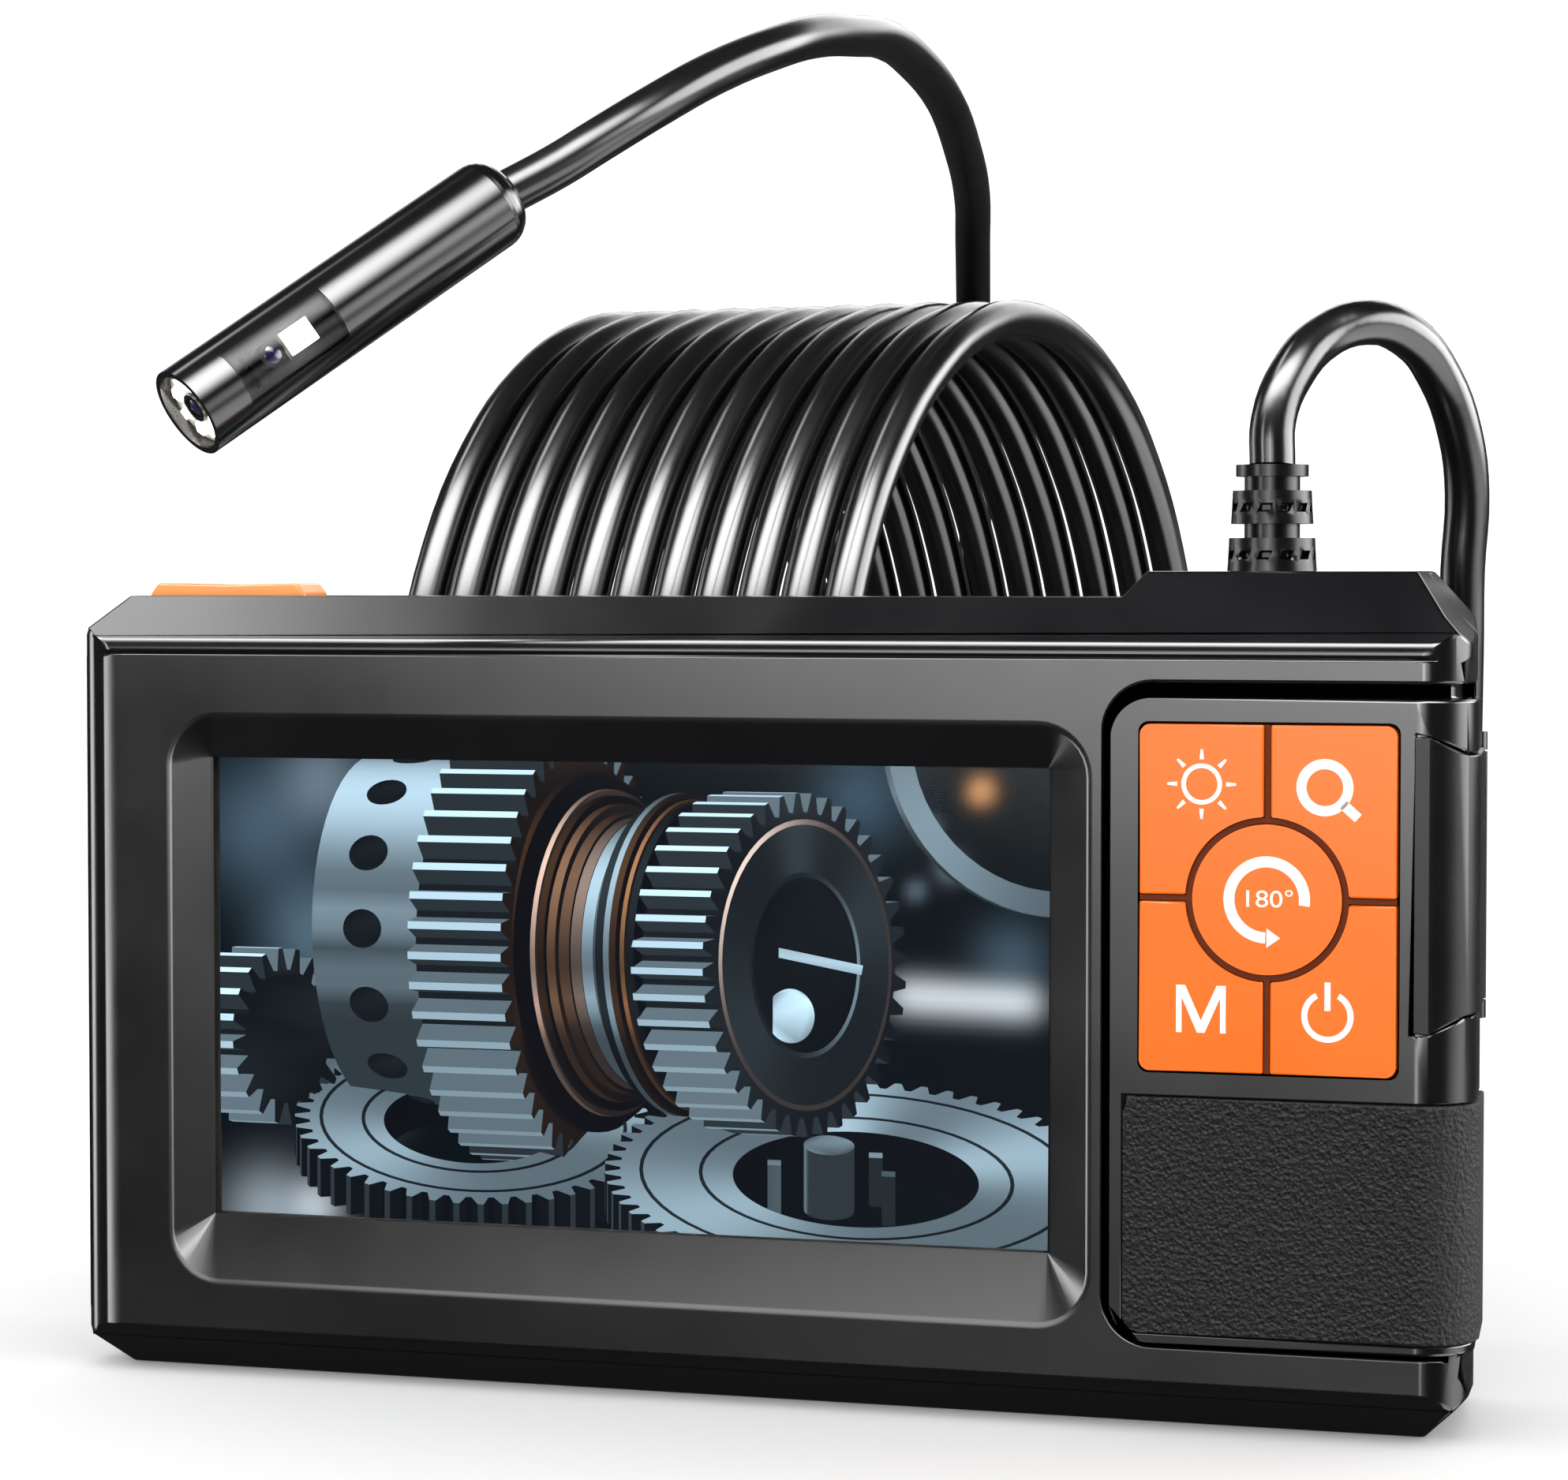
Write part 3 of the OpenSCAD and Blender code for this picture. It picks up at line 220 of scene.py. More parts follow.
def grained_rubber(name, colour):
    """Thermoplastic rubber with a coarse pebbled grain, with pale specks painted on its high points as
    highlights.
    """
    made, tree = new_material(name)
    place = add_node(tree, "ShaderNodeTexCoord").outputs["Object"]
    pebbles = add_node(tree, "ShaderNodeTexVoronoi", {"Vector": place, "Scale": 1 / (0.55 * MM)})
    fine = add_node(tree, "ShaderNodeTexNoise", {"Vector": place, "Scale": 1 / (0.35 * MM), "Detail": 2.0})
    height = add_node(tree, "ShaderNodeMath", {0: pebbles.outputs["Distance"], 1: fine.outputs["Fac"]},
        operation="ADD")
    # painted highlights: a paler colour mixed in where the fine grain is high
    painted_highlight_tops = add_node(tree, "ShaderNodeMapRange", {"Value": fine.outputs["Fac"], "From Min": 0.55,
        "From Max": 0.72})
    pale = linear("#212123")
    tint = add_node(tree, "ShaderNodeMix", {0: painted_highlight_tops.outputs["Result"], 6: colour, 7: pale}, data_type="RGBA")
    bump = add_node(tree, "ShaderNodeBump", {"Height": height.outputs[0], "Distance": 0.25 * MM,
        "Strength": 0.9})
    shader = add_node(tree, "ShaderNodeBsdfPrincipled", {"Base Color": tint.outputs[2], "Roughness": 0.62,
        "Normal": bump.outputs["Normal"], "Specular IOR Level": 0.16})
    surface(tree, shader)
    return made


def glowing(name, colour, strength):
    """A lit lamp or backlit picture: its colour clouds slightly and it gives light."""
    made, tree = new_material(name)
    place = add_node(tree, "ShaderNodeTexCoord").outputs["Object"]
    clouds = add_node(tree, "ShaderNodeTexNoise", {"Vector": place, "Scale": 1 / (0.6 * MM)})
    warm = [c * w for c, w in zip(colour[:3], (1.0, 0.93, 0.78))] + [1.0]
    tint = add_node(tree, "ShaderNodeMix", {0: clouds.outputs["Fac"], 6: warm, 7: colour}, data_type="RGBA")
    shader = add_node(tree, "ShaderNodeBsdfPrincipled", {"Base Color": colour, "Roughness": 0.3,
        "Emission Color": tint.outputs[2], "Emission Strength": strength})
    surface(tree, shader)
    return made


def shown_picture(name):
    """The backlit display: each point gives the colour stored on its face corner."""
    made, tree = new_material(name)
    colour = add_node(tree, "ShaderNodeAttribute", attribute_name="picture")
    shader = add_node(tree, "ShaderNodeBsdfPrincipled", {"Base Color": (0, 0, 0, 1), "Roughness": 0.5,
        "Specular IOR Level": 0.0, "Emission Color": colour.outputs["Color"], "Emission Strength": 1.0})
    surface(tree, shader)
    return made


def clear_sheet(name, colour, roughness, see_through):
    """Thin clear plastic, mostly see-through so that what lies behind keeps its colour."""
    made, tree = new_material(name)
    place = add_node(tree, "ShaderNodeTexCoord").outputs["Object"]
    smears = add_node(tree, "ShaderNodeTexNoise", {"Vector": place, "Scale": 1 / (22 * MM), "Detail": 5.0})
    polish = add_node(tree, "ShaderNodeMapRange", {"Value": smears.outputs["Fac"], "From Min": 0.35,
        "From Max": 0.7, "To Min": roughness, "To Max": roughness + 0.05})
    shader = add_node(tree, "ShaderNodeBsdfPrincipled", {"Base Color": colour, "IOR": 1.49,
        "Roughness": polish.outputs["Result"], "Alpha": 1 - see_through})
    surface(tree, shader)
    return made


def make_materials():
    """One material for each slot of the record, and those of the pieces that only the looks have."""
    scene = bpy.context.scene
    case = tuple(scene.camera_case.case_colour)
    key = tuple(scene.camera_keys.key_colour)
    mark = tuple(scene.camera_keys.mark_colour)
    return {
        # Injection-moulded ABS: black, glossy, with soft clear reflections
        "black_case": moulded("moulded_abs", case, 0.16, grain=0.5, depth=0.0012),
        # Moulded rubber of the flap and the cable's relief: black with a weak sheen
        "rubber": moulded("black_rubber", linear("#0A0A0B"), 0.26, grain=0.3, depth=0.004,
            Specular_IOR_Level=0.25),
        # Pebbled rubber of the grip: matt, with pale specks painted on as highlights
        "grip": grained_rubber("pebbled_rubber", linear("#030304")),
        # Silicone keypad: strong orange with a faint sheen
        "orange_key": moulded("orange_silicone", key, 0.18, grain=0.25, depth=0.002, mottle=0.02,
            Specular_IOR_Level=0.28),
        # ABS of the rocker: a paler orange than the keys
        "rocker_orange": moulded("pale_orange_abs", linear("#FFA154"), 0.3, grain=0.4, depth=0.002,
            mottle=0.02),
        # Hard-coated acrylic over the display
        "clear_cover": clear_sheet("clear_acrylic", (0, 0, 0, 1), 0.03, 0.9),
        # Polycarbonate windows of the probe
        "probe_window": clear_sheet("clear_polycarbonate", (0, 0, 0, 1), 0.02, 0.8),
        # Closed-cell foam: black and dull
        "foam": moulded("black_foam", linear("#141414"), 0.9, grain=0.3, depth=0.05),
        # Display glass when nothing is shown on it
        "display": moulded("display_glass", linear("#10161C"), 0.15, grain=0.2, depth=0.0005),
        # Stamped and turned steel: grey mirror softened by fine tool marks
        "steel": moulded("plated_steel", linear("#B9BBBE"), 0.28, grain=0.15, depth=0.003, Metallic=1.0),
        # Black-oxide screws
        "dark_screw": moulded("black_oxide_steel", linear("#3A3B3E"), 0.35, grain=0.15, depth=0.003,
            Metallic=1.0),
        # Solder-masked glass-epoxy board
        "green_board": moulded("green_solder_mask", linear("#1C6B3F"), 0.35, grain=0.2, depth=0.004,
            mottle=0.25),
        # Epoxy chip packages
        "chip": moulded("moulded_epoxy", linear("#1F2022"), 0.55, grain=0.12, depth=0.004),
        # Blue heat-shrink film on the cell
        "battery_wrap": moulded("blue_heat_shrink", linear("#3F66A8"), 0.3, grain=1.5, depth=0.02),
        # Glossy PVC cable jacket: near-black with sharp bright reflections
        "cable_black": moulded("glossy_pvc", linear("#0A0A0B"), 0.21, grain=1.2, depth=0.002, mottle=0.1),
        # Nylon plug housing
        "plug_white": moulded("white_nylon", linear("#D8D6CC"), 0.45, grain=0.3, depth=0.003),
        # Hard anodised probe shell, polished black
        "probe_black": moulded("polished_black_shell", linear("#0C0C0D"), 0.14, grain=0.8, depth=0.001),
        # Lens barrels and sensors
        "camera_black": moulded("black_lens_barrel", linear("#0B0B0F"), 0.3, grain=0.2, depth=0.002),
        # Lit white lamps
        "lamp_white": glowing("lit_white_lamp", (1, 1, 1, 1), 9.0),
        # Glossy nylon attachments
        "attachment_black": moulded("glossy_nylon", linear("#0E0E10"), 0.16, grain=0.6, depth=0.002),
        # Nickel-plated magnet, dark
        "magnet": moulded("dark_nickel", linear("#37383B"), 0.22, grain=0.2, depth=0.002, Metallic=1.0),
        # White ink on the keys, with a faint painted glow that keeps it bright
        "ink": moulded("white_ink_with_painted_glow", mark, 0.5, grain=0.15, depth=0.002, mottle=0.01,
            Emission_Color=(1, 1, 1, 1), Emission_Strength=0.08),
        # Coated lens: dark glass with a violet reflection
        "lens": moulded("violet_lens", linear("#2A2A5C"), 0.05, grain=0.3, depth=0.0003, Coat_Weight=1.0,
            Coat_Roughness=0.02),
        # Walls and floors of the gaps round the panel: painted shade, dull and nearly black where no light
        # reaches them
        "gap": moulded("painted_shade_gap_wall", (0.0005, 0.0005, 0.0005, 1), 0.9, grain=0.2, depth=0.01,
            Specular_IOR_Level=0.0),
        # Solder-masked black board in the probe
        "probe_board": moulded("black_solder_mask", linear("#121316"), 0.35, grain=0.2, depth=0.004),
        # The keys' orange silicone darkened to brown in the gaps between the keys: painted shade
        "key_seam": moulded("shaded_orange_silicone", linear("#5A2408"), 0.6, grain=0.25, depth=0.003, mottle=0.05,
            Specular_IOR_Level=0.15),
        # Backlit display
        "picture": shown_picture("backlit_picture"),
    }


MATERIALS = {}


# ---- shared making ----

def finished(name, bm, slot, body, stands_for=(), smooth_angle=35.0, material=None):
    """Turns a bmesh into a named piece that rides on a body and takes its finish from a slot."""
    for face in bm.faces:
        face.smooth = True
    for edge in bm.edges:
        edge.smooth = len(edge.link_faces) == 2 and edge.calc_face_angle(0) < math.radians(smooth_angle)
    mesh = bpy.data.meshes.new(name)
    bm.to_mesh(mesh)
    bm.free()
    piece = bpy.data.objects.new(name, mesh)
    bpy.context.scene.collection.objects.link(piece)
    mesh.materials.append(material or MATERIALS[slot])
    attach(piece, body)
    if stands_for:
        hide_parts(*stands_for)
    return piece


def edge_weight(edge):
    """How much of the full rounding an edge gets: most at the foot of the top chamfer and down the left
    side, which are soft rails, less where it is sharp and least where it is shallow."""
    if len(edge.link_faces) != 2 or edge.calc_length() < 0.6 * MM:
        return 0.0
    angle = math.degrees(edge.calc_face_angle(0))
    rise = sorted(face.normal.z for face in edge.link_faces)
    if 0.08 < rise[0] < 0.3 and 0.5 < rise[1] < 0.8 and edge.calc_length() > 20 * MM:
        return RAIL_ROUND
    outer = max(v.co.x for v in edge.verts) < BOX["front_housing"][0].x + 6 * MM
    is_long = edge.calc_length() > LONG_EDGE * MM
    if outer and is_long and max(-face.normal.y for face in edge.link_faces) > FLAT:
        return RAIL_ROUND
    if angle > SHARP_BEND:
        return 0.08 if rise[1] > 0.9 and is_long else 1 / WIDEST_ROUND
    beside_flat = max(abs(face.normal.y) for face in edge.link_faces) > FLAT
    return 0.4 if angle > SHALLOW_BEND and beside_flat else 0.0


def rounded_node(node, name, width, segments=3, material=None):
    """A copy of a CAD node with its edges rounded by width in mm, which stands for the node."""
    bm = bmesh.new()
    bm.from_mesh(NODES[node].data)
    bmesh.ops.remove_doubles(bm, verts=bm.verts, dist=0.003 * MM)
    bmesh.ops.dissolve_limit(bm, angle_limit=math.radians(0.5), verts=bm.verts, edges=bm.edges)
    weights = bm.edges.layers.float.new("bevel_weight_edge")
    for edge in bm.edges:
        edge[weights] = edge_weight(edge)
    body = NODES[node]["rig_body"]
    piece = finished(name, bm, SLOTS[node], body, stands_for=(node,), material=material)
    bevel = piece.modifiers.new("round_edges", "BEVEL")
    bevel.width = WIDEST_ROUND * width * MM
    bevel.segments = segments
    bevel.limit_method = "WEIGHT"
    bevel.use_clamp_overlap = False
    flat = piece.modifiers.new("flat_faces", "WEIGHTED_NORMAL")
    flat.keep_sharp = True
    return piece


def ring(bm, centre, inner, outer, y0, y1, start=0.0, sweep=360.0, steps=48):
    """A flat ring or arc round a Y axis; angles in degrees from +X towards +Z."""
    x, z = centre
    a = math.radians(start)
    corners = [(inner, y0), (outer, y0), (outer, y1), (inner, y1)]
    verts = [bm.verts.new((x + r * math.cos(a), y, z + r * math.sin(a))) for r, y in corners]
    face = bm.faces.new(verts)
    whole = sweep >= 359.9
    bmesh.ops.spin(bm, geom=[face] + list(face.edges) + verts, cent=(x, 0, z), axis=(0, -1, 0),
        angle=math.radians(sweep), steps=steps, use_merge=whole)
    if whole:
        bmesh.ops.delete(bm, geom=[face], context="FACES_ONLY")
    bmesh.ops.recalc_face_normals(bm, faces=bm.faces)


def plate(bm, outline, y0, y1):
    """A flat plate with the outline's X and Z points, between two depths."""
    face = bm.faces.new([bm.verts.new((x, y1, z)) for x, z in outline])
    out = bmesh.ops.extrude_face_region(bm, geom=[face])
    moved = [v for v in out["geom"] if isinstance(v, bmesh.types.BMVert)]
    bmesh.ops.translate(bm, verts=moved, vec=(0, y0 - y1, 0))
    bmesh.ops.recalc_face_normals(bm, faces=bm.faces)


def bar(bm, a, b, width, y0, y1, end_width=None):
    """A straight bar from point a to point b in X and Z; end_width, where given, is its width at b."""
    a, b = Vector(a), Vector(b)
    side = (b - a).normalized().orthogonal() * 0.5
    w0, w1 = side * width, side * (end_width or width)
    plate(bm, [a + w0, a - w0, b - w1, b + w1], y0, y1)


# ---- cable ----

class CAMERA_OT_cable(bpy.types.Operator):
    """Lays the whole cable as one curve: arch, coil and the run to the probe"""
    bl_idname = "camera_build.cable"
    bl_label = "Cable"

    def execute(self, context):
        settings = context.scene.camera_cable
        turn = math.radians(COIL_TURN)
        along = Vector((-math.cos(turn), math.sin(turn), 0))
        across = Vector((math.sin(turn), math.cos(turn), 0))
        radius = settings.coil_radius / MM
        first = Vector((*COIL_START, radius + settings.diameter / MM / 2))
        points = [Vector(p) for p in LEAD_IN]
        for i in range(settings.turns * KNOTS_PER_TURN + 1):
            t = i / KNOTS_PER_TURN
            angle = 2 * math.pi * t
            points.append(first + along * (COIL_RUN * t / settings.turns)
                + across * (radius * math.sin(angle)) - Vector((0, 0, radius * math.cos(angle))))
        points += [Vector(p) for p in LEAD_OUT]
        points.append(probe_point(-PROBE_LENGTH))
        curve = bpy.data.curves.new("cable", "CURVE")
        curve.dimensions = "3D"
        curve.resolution_u = 4
        curve.bevel_depth = settings.diameter / 2
        curve.bevel_resolution = 5
        curve.use_fill_caps = True
        spline = curve.splines.new("BEZIER")
        spline.bezier_points.add(len(points) - 1)
        for knot, p in zip(spline.bezier_points, points):
            knot.co = p * MM
            knot.handle_left_type = knot.handle_right_type = "AUTO"
        cable = bpy.data.objects.new("cable", curve)
        context.scene.collection.objects.link(cable)
        curve.materials.append(MATERIALS["cable_black"])
        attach(cable, "monitor")
        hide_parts("cable_lead_in", "cable_coil", "cable_lead_out")
        return {"FINISHED"}


# ---- probe ----

def probe_point(z, x=0.0, y=0.0):
    """A point of the probe in the part's frame: z is minus the distance behind the tip, all in mm."""
    return PROBE_TIP + PROBE_TURN.to_3x3() @ Vector((x, y, z))


def into_probe(bm):
    """Moves a mesh made in the probe's own frame, in mm, to its place."""
    bmesh.ops.transform(bm, matrix=Matrix.Scale(MM, 4) @ Matrix.Translation(PROBE_TIP) @ PROBE_TURN,
        verts=bm.verts)


class CAMERA_OT_probe(bpy.types.Operator):
    """Makes the probe's front lamp board, its lit lamps and the two lenses"""
    bl_idname = "camera_build.probe"
    bl_label = "Probe lamps and lenses"

    def execute(self, context):
        bm = bmesh.new()
        bmesh.ops.create_cone(bm, cap_ends=True, segments=48, radius1=4.45, radius2=4.45, depth=0.4,
            matrix=Matrix.Translation((0, 0, -1.6)))
        into_probe(bm)
        finished("front_lamp_board", bm, "camera_black", "monitor", material=MATERIALS["plug_white"])
        bm = bmesh.new()
        for i in range(FRONT_LAMPS):
            spin = Matrix.Rotation(math.radians(360 / FRONT_LAMPS * i), 4, "Z")
            bmesh.ops.create_cube(bm, size=1.0, matrix=spin @ Matrix.Translation((3.1, 0, -1.15))
                @ Matrix.Diagonal((1.4, 1.2, 0.5, 1)))
        bmesh.ops.bevel(bm, geom=bm.edges, offset=0.12, affect="EDGES", segments=2, profile=0.5, material=-1)
        into_probe(bm)
        finished("front_lamps_lit", bm, "lamp_white", "monitor", stands_for=("front_lamps",))
        for name, place, radius, sideways in (("front_lens", (0, 0, -1.3), 1.25, False),
                ("side_lens", (0, 4.0, -10.4), 1.15, True)):
            bm = bmesh.new()
            bmesh.ops.create_uvsphere(bm, u_segments=32, v_segments=16, radius=radius)
            bmesh.ops.scale(bm, vec=(1, 1, 0.35), verts=bm.verts)
            if sideways:
                bmesh.ops.rotate(bm, cent=(0, 0, 0), matrix=Matrix.Rotation(math.radians(-90), 3, "X"),
                    verts=bm.verts)
            bmesh.ops.translate(bm, vec=place, verts=bm.verts)
            into_probe(bm)
            finished(name, bm, "camera_black", "monitor", material=MATERIALS["lens"])
        return {"FINISHED"}


# ---- monitor ----

def shade_gaps(piece):
    """Gives the walls and floors of the gaps round the control panel their painted shade: a dull near-black
    material.
    """
    mesh = piece.data
    mesh.materials.append(MATERIALS["gap"])
    low, high = BOX["control_panel"]
    front = min(v.co.y for v in mesh.vertices if v.co.x < low.x - 5 * MM and low.z < v.co.z < high.z)
    for face in mesh.polygons:
        corners = [mesh.vertices[i].co for i in face.vertices]
        beside = all(low.x - 2 * MM < c.x and low.z - 2 * MM < c.z < high.z + 2.6 * MM for c in corners)
        if beside and front + 0.1 * MM < face.center.y < front + 3.2 * MM:
            face.material_index = 1


class CAMERA_OT_case(bpy.types.Operator):
    """Makes the moulded housings, control panel, port flap and rocker key"""
    bl_idname = "camera_build.case"
    bl_label = "Case"

    def execute(self, context):
        edge = context.scene.camera_case.edge_round
        front = rounded_node("front_housing", "case_front", edge, segments=6)
        shade_gaps(front)
        rounded_node("rear_housing", "case_back", edge)
        rounded_node("control_panel", "panel_plate", edge * 0.9)
        rounded_node("port_flap", "port_cover", edge * 0.5)
        rounded_node("strain_relief", "cable_relief", edge * 0.7, segments=2)
        rounded_node("rocker_key", "rocker_cap", edge * 0.9)
        rounded_node("grip_pad", "grip", edge * 0.8, material=MATERIALS["grip"])
        return {"FINISHED"}


class CAMERA_OT_keys(bpy.types.Operator):
    """Makes the five keys with their printed marks"""
    bl_idname = "camera_build.keys"
    bl_label = "Keypad"

    def execute(self, context):
        settings = context.scene.camera_keys
        for node in ("key_light", "key_zoom", "key_mode", "key_power", "key_rotate"):
            rounded_node(node, node + "_cap", settings.key_round, segments=2)
        low, high = BOX["key_rotate"]
        x0, z0 = (low.x + high.x) / 2 / MM, (low.z + high.z) / 2 / MM
        y1 = low.y / MM + 0.01
        y0 = y1 - settings.print_height - 0.01
        sun_mark((x0 - 7.2, z0 + 12.5), y0, y1)
        magnifier_mark((x0 + 6.3, z0 + 12.3), y0, y1)
        mode_mark((x0 - 7.2, z0 - 12.1), y0, y1)
        power_mark((x0 + 6.7, z0 - 12.5), y0, y1)
        turn_mark((x0, z0), y0, y1)
        return {"FINISHED"}


def mark(name, bm, body):
    """A printed mark, made in mm, brought to its size and put on its key's body."""
    bmesh.ops.scale(bm, vec=(MM, MM, MM), verts=bm.verts)
    return finished(name, bm, "orange_key", body, material=MATERIALS["ink"])


def sun_mark(centre, y0, y1):
    """A ring with eight rays."""
    bm = bmesh.new()
    ring(bm, centre, 1.75, 2.25, y0, y1)
    c = Vector(centre)
    for i in range(8):
        out = Vector((math.cos(math.pi * i / 4), math.sin(math.pi * i / 4)))
        bar(bm, c + out * 2.7, c + out * 3.8, 0.5, y0, y1, end_width=0.25)
    mark("mark_light", bm, "light_key")


def magnifier_mark(centre, y0, y1):
    """A magnifying glass."""
    bm = bmesh.new()
    ring(bm, centre, 2.0, 3.1, y0, y1)
    c = Vector(centre)
    out = Vector((1, -0.9)).normalized()
    bar(bm, c + out * 2.7, c + out * 4.9, 1.1, y0, y1)
    mark("mark_zoom", bm, "zoom_key")


def mode_mark(centre, y0, y1):
    """The letter M."""
    w, h, s = 2.75, 2.6, 0.62
    x, z = centre
    half = [(-w, -h), (-w, h), (-w + 1.0, h), (0, -h + 1.35)]
    inner = [(-w + s, -h), (-w + s, h - 1.35), (-0.42, -h)]
    outline = half + [(-px, pz) for px, pz in reversed(half[:3])]
    outline += [(w - s, -h), (w - s, h - 1.35), (0.42, -h)] + list(reversed(inner))
    bm = bmesh.new()
    plate(bm, [(x + px, z + pz) for px, pz in outline], y0, y1)
    mark("mark_mode", bm, "mode_key")


def power_mark(centre, y0, y1):
    """An open ring with a bar in its gap."""
    bm = bmesh.new()
    ring(bm, centre, 2.2, 2.85, y0, y1, start=118, sweep=304, steps=40)
    c = Vector(centre)
    bar(bm, c + Vector((0, 0.6)), c + Vector((0, 3.7)), 0.65, y0, y1)
    mark("mark_power", bm, "power_key")


def turn_mark(centre, y0, y1):
    """A three-quarter arrow with the angle inside it."""
    bm = bmesh.new()
    ring(bm, centre, 3.55, 4.75, y0, y1, start=-8, sweep=276, steps=40)
    x, z = centre
    plate(bm, [(x, z - 5.2), (x + 1.5, z - 4.15), (x, z - 3.1)], y0, y1)
    text = bpy.data.curves.new("angle", "FONT")
    text.body = "180°"
    text.size = 2.5
    text.align_x = "CENTER"
    text.align_y = "CENTER"
    text.extrude = (y1 - y0) / 2
    holder = bpy.data.objects.new("angle", text)
    shape = bpy.data.meshes.new_from_object(holder)
    shape.transform(Matrix.Translation((x + 0.1, (y0 + y1) / 2, z))
        @ Matrix.Rotation(math.radians(90), 4, "X") @ Matrix.Diagonal((1.25, 1.05, 1, 1)))
    bm.from_mesh(shape)
    bpy.data.objects.remove(holder)
    bpy.data.curves.remove(text)
    bpy.data.meshes.remove(shape)
    mark("mark_turn", bm, "rotate_key")


# ---- picture on the display ----

STEEL = Vector((0.42, 0.60, 0.72))
COPPER = Vector((0.95, 0.46, 0.20))
DARK = Vector((0.004, 0.006, 0.010))


def share(angle, peak, width):
    """How much of a soft light falls at an angle in radians; the light peaks at peak degrees."""
    off = (math.degrees(angle) - peak + 180) % 360 - 180
    return math.exp(-(off / width) ** 2)


def rim_light(angle):
    """Light on the rim of a wheel: a strong line at its upper left, weak elsewhere."""
    return 0.10 + 1.0 * share(angle, 148, 26) + 0.45 * share(angle, 200, 9)


def drum_light(angle):
    """Light on the drum: bright above, streaks in the middle, dark below."""
    return 0.08 + 1.5 * share(angle, 128, 26) + 0.5 * share(angle, 176, 7) + 0.3 * share(angle, 196, 6)


def edge_light(angle):
    """Light on a chamfer's ring: only at its upper left."""
    return 0.06 + 1.3 * share(angle, 140, 40)


def bore_light(angle):
    """Light on a bore's edge: only at its right."""
    return 0.05 + 1.0 * share(angle, -10, 50)


def face_light(angle):
    """Light on the turned face of a wheel: two opposite fans and a bright sweep at the back."""
    return 0.32 + 0.7 * share(angle, 25, 26) + 0.6 * share(angle, 215, 36) + 0.9 * share(angle, 96, 16)


def tooth_light(face, radius, depth, turned):
    """Light on a gear's tooth: bright on its land, half on the flank that faces up, dark in its root."""
    reach = [v.co.xy.length > radius - depth / 2 for v in face.verts]
    middle = face.calc_center_median()
    if all(reach):
        return 0.55 + 1.5 * share(math.atan2(middle.y, middle.x), 138, 52)
    if not any(reach):
        return 0.02
    return 0.34 if turned.y > 0 else 0.06


class Picture:
    """Collects tinted shapes in front of the display: x right, y up, z towards the viewer, in mm."""

    def __init__(self):
        self.bm = bmesh.new()
        self.colour = self.bm.loops.layers.float_color.new("picture")

    def add(self, build, place, tint, teeth=None, rim=None, light=None):
        """Adds what build makes round the Z axis, put in place. tint colours its faces along Z and rim,
        where given, its rim; teeth is a gear's radius and the depth of its teeth; light, where given,
        is how its surface is lit in place of a wheel's usual light."""
        part = bmesh.new()
        build(part)
        bmesh.ops.recalc_face_normals(part, faces=part.faces)
        turn = place.to_3x3()
        twins = {v: self.bm.verts.new(place @ v.co) for v in part.verts}
        for face in part.faces:
            turned = (turn @ face.normal).normalized()
            if turned.z < -0.02:
                continue
            new = self.bm.faces.new([twins[v] for v in face.verts])
            on_rim = abs(face.normal.z) < 0.5
            for loop, source in zip(new.loops, face.loops):
                angle = math.atan2(source.vert.co.y, source.vert.co.x)
                if teeth and on_rim:
                    shine = tooth_light(face, *teeth, turned)
                else:
                    shine = (light or (rim_light if on_rim else face_light))(angle)
                loop[self.colour] = (*(DARK + (rim if rim and on_rim else tint) * shine), 1.0)
        part.free()


def disc(radius, thick, hole=0.0, steps=56):
    """Builder of a plain disc or ring, its front face at z = 0."""
    def build(bm):
        outer = bmesh.ops.create_circle(bm, radius=radius, segments=steps)["verts"]
        if hole:
            bmesh.ops.create_circle(bm, radius=hole, segments=steps)
            bmesh.ops.bridge_loops(bm, edges=bm.edges[:])
        else:
            bm.faces.new(outer)
        out = bmesh.ops.extrude_face_region(bm, geom=bm.faces[:])
        moved = [v for v in out["geom"] if isinstance(v, bmesh.types.BMVert)]
        bmesh.ops.translate(bm, verts=moved, vec=(0, 0, -thick))
    return build


def gear(radius, teeth, thick, depth=1.6, hole=0.0):
    """Builder of a spur gear, its front face at z = 0."""
    def build(bm):
        outer = bmesh.ops.create_circle(bm, radius=radius, segments=4 * teeth)["verts"]
        for i, v in enumerate(outer):
            if i % 4 in (0, 3):
                v.co *= (radius - depth) / radius
        if hole:
            bmesh.ops.create_circle(bm, radius=hole, segments=4 * teeth)
            bmesh.ops.bridge_loops(bm, edges=bm.edges[:])
        else:
            bm.faces.new(outer)
        out = bmesh.ops.extrude_face_region(bm, geom=bm.faces[:])
        moved = [v for v in out["geom"] if isinstance(v, bmesh.types.BMVert)]
        bmesh.ops.translate(bm, verts=moved, vec=(0, 0, -thick))
    return build


def block(centre, size):
    """Builder of a small block."""
    def build(bm):
        bmesh.ops.create_cube(bm, size=1.0, matrix=Matrix.Translation(centre) @ Matrix.Diagonal((*size, 1)))
    return build


def leaning(x, y, z, yaw, pitch=0.0, roll=0.0):
    """Place of a wheel whose axis is turned by yaw and pitch from the viewer."""
    return Matrix.Translation((x, y, z)) @ Matrix.Rotation(math.radians(yaw), 4, "Y") \
        @ Matrix.Rotation(math.radians(pitch), 4, "X") @ Matrix.Rotation(math.radians(roll), 4, "Z")


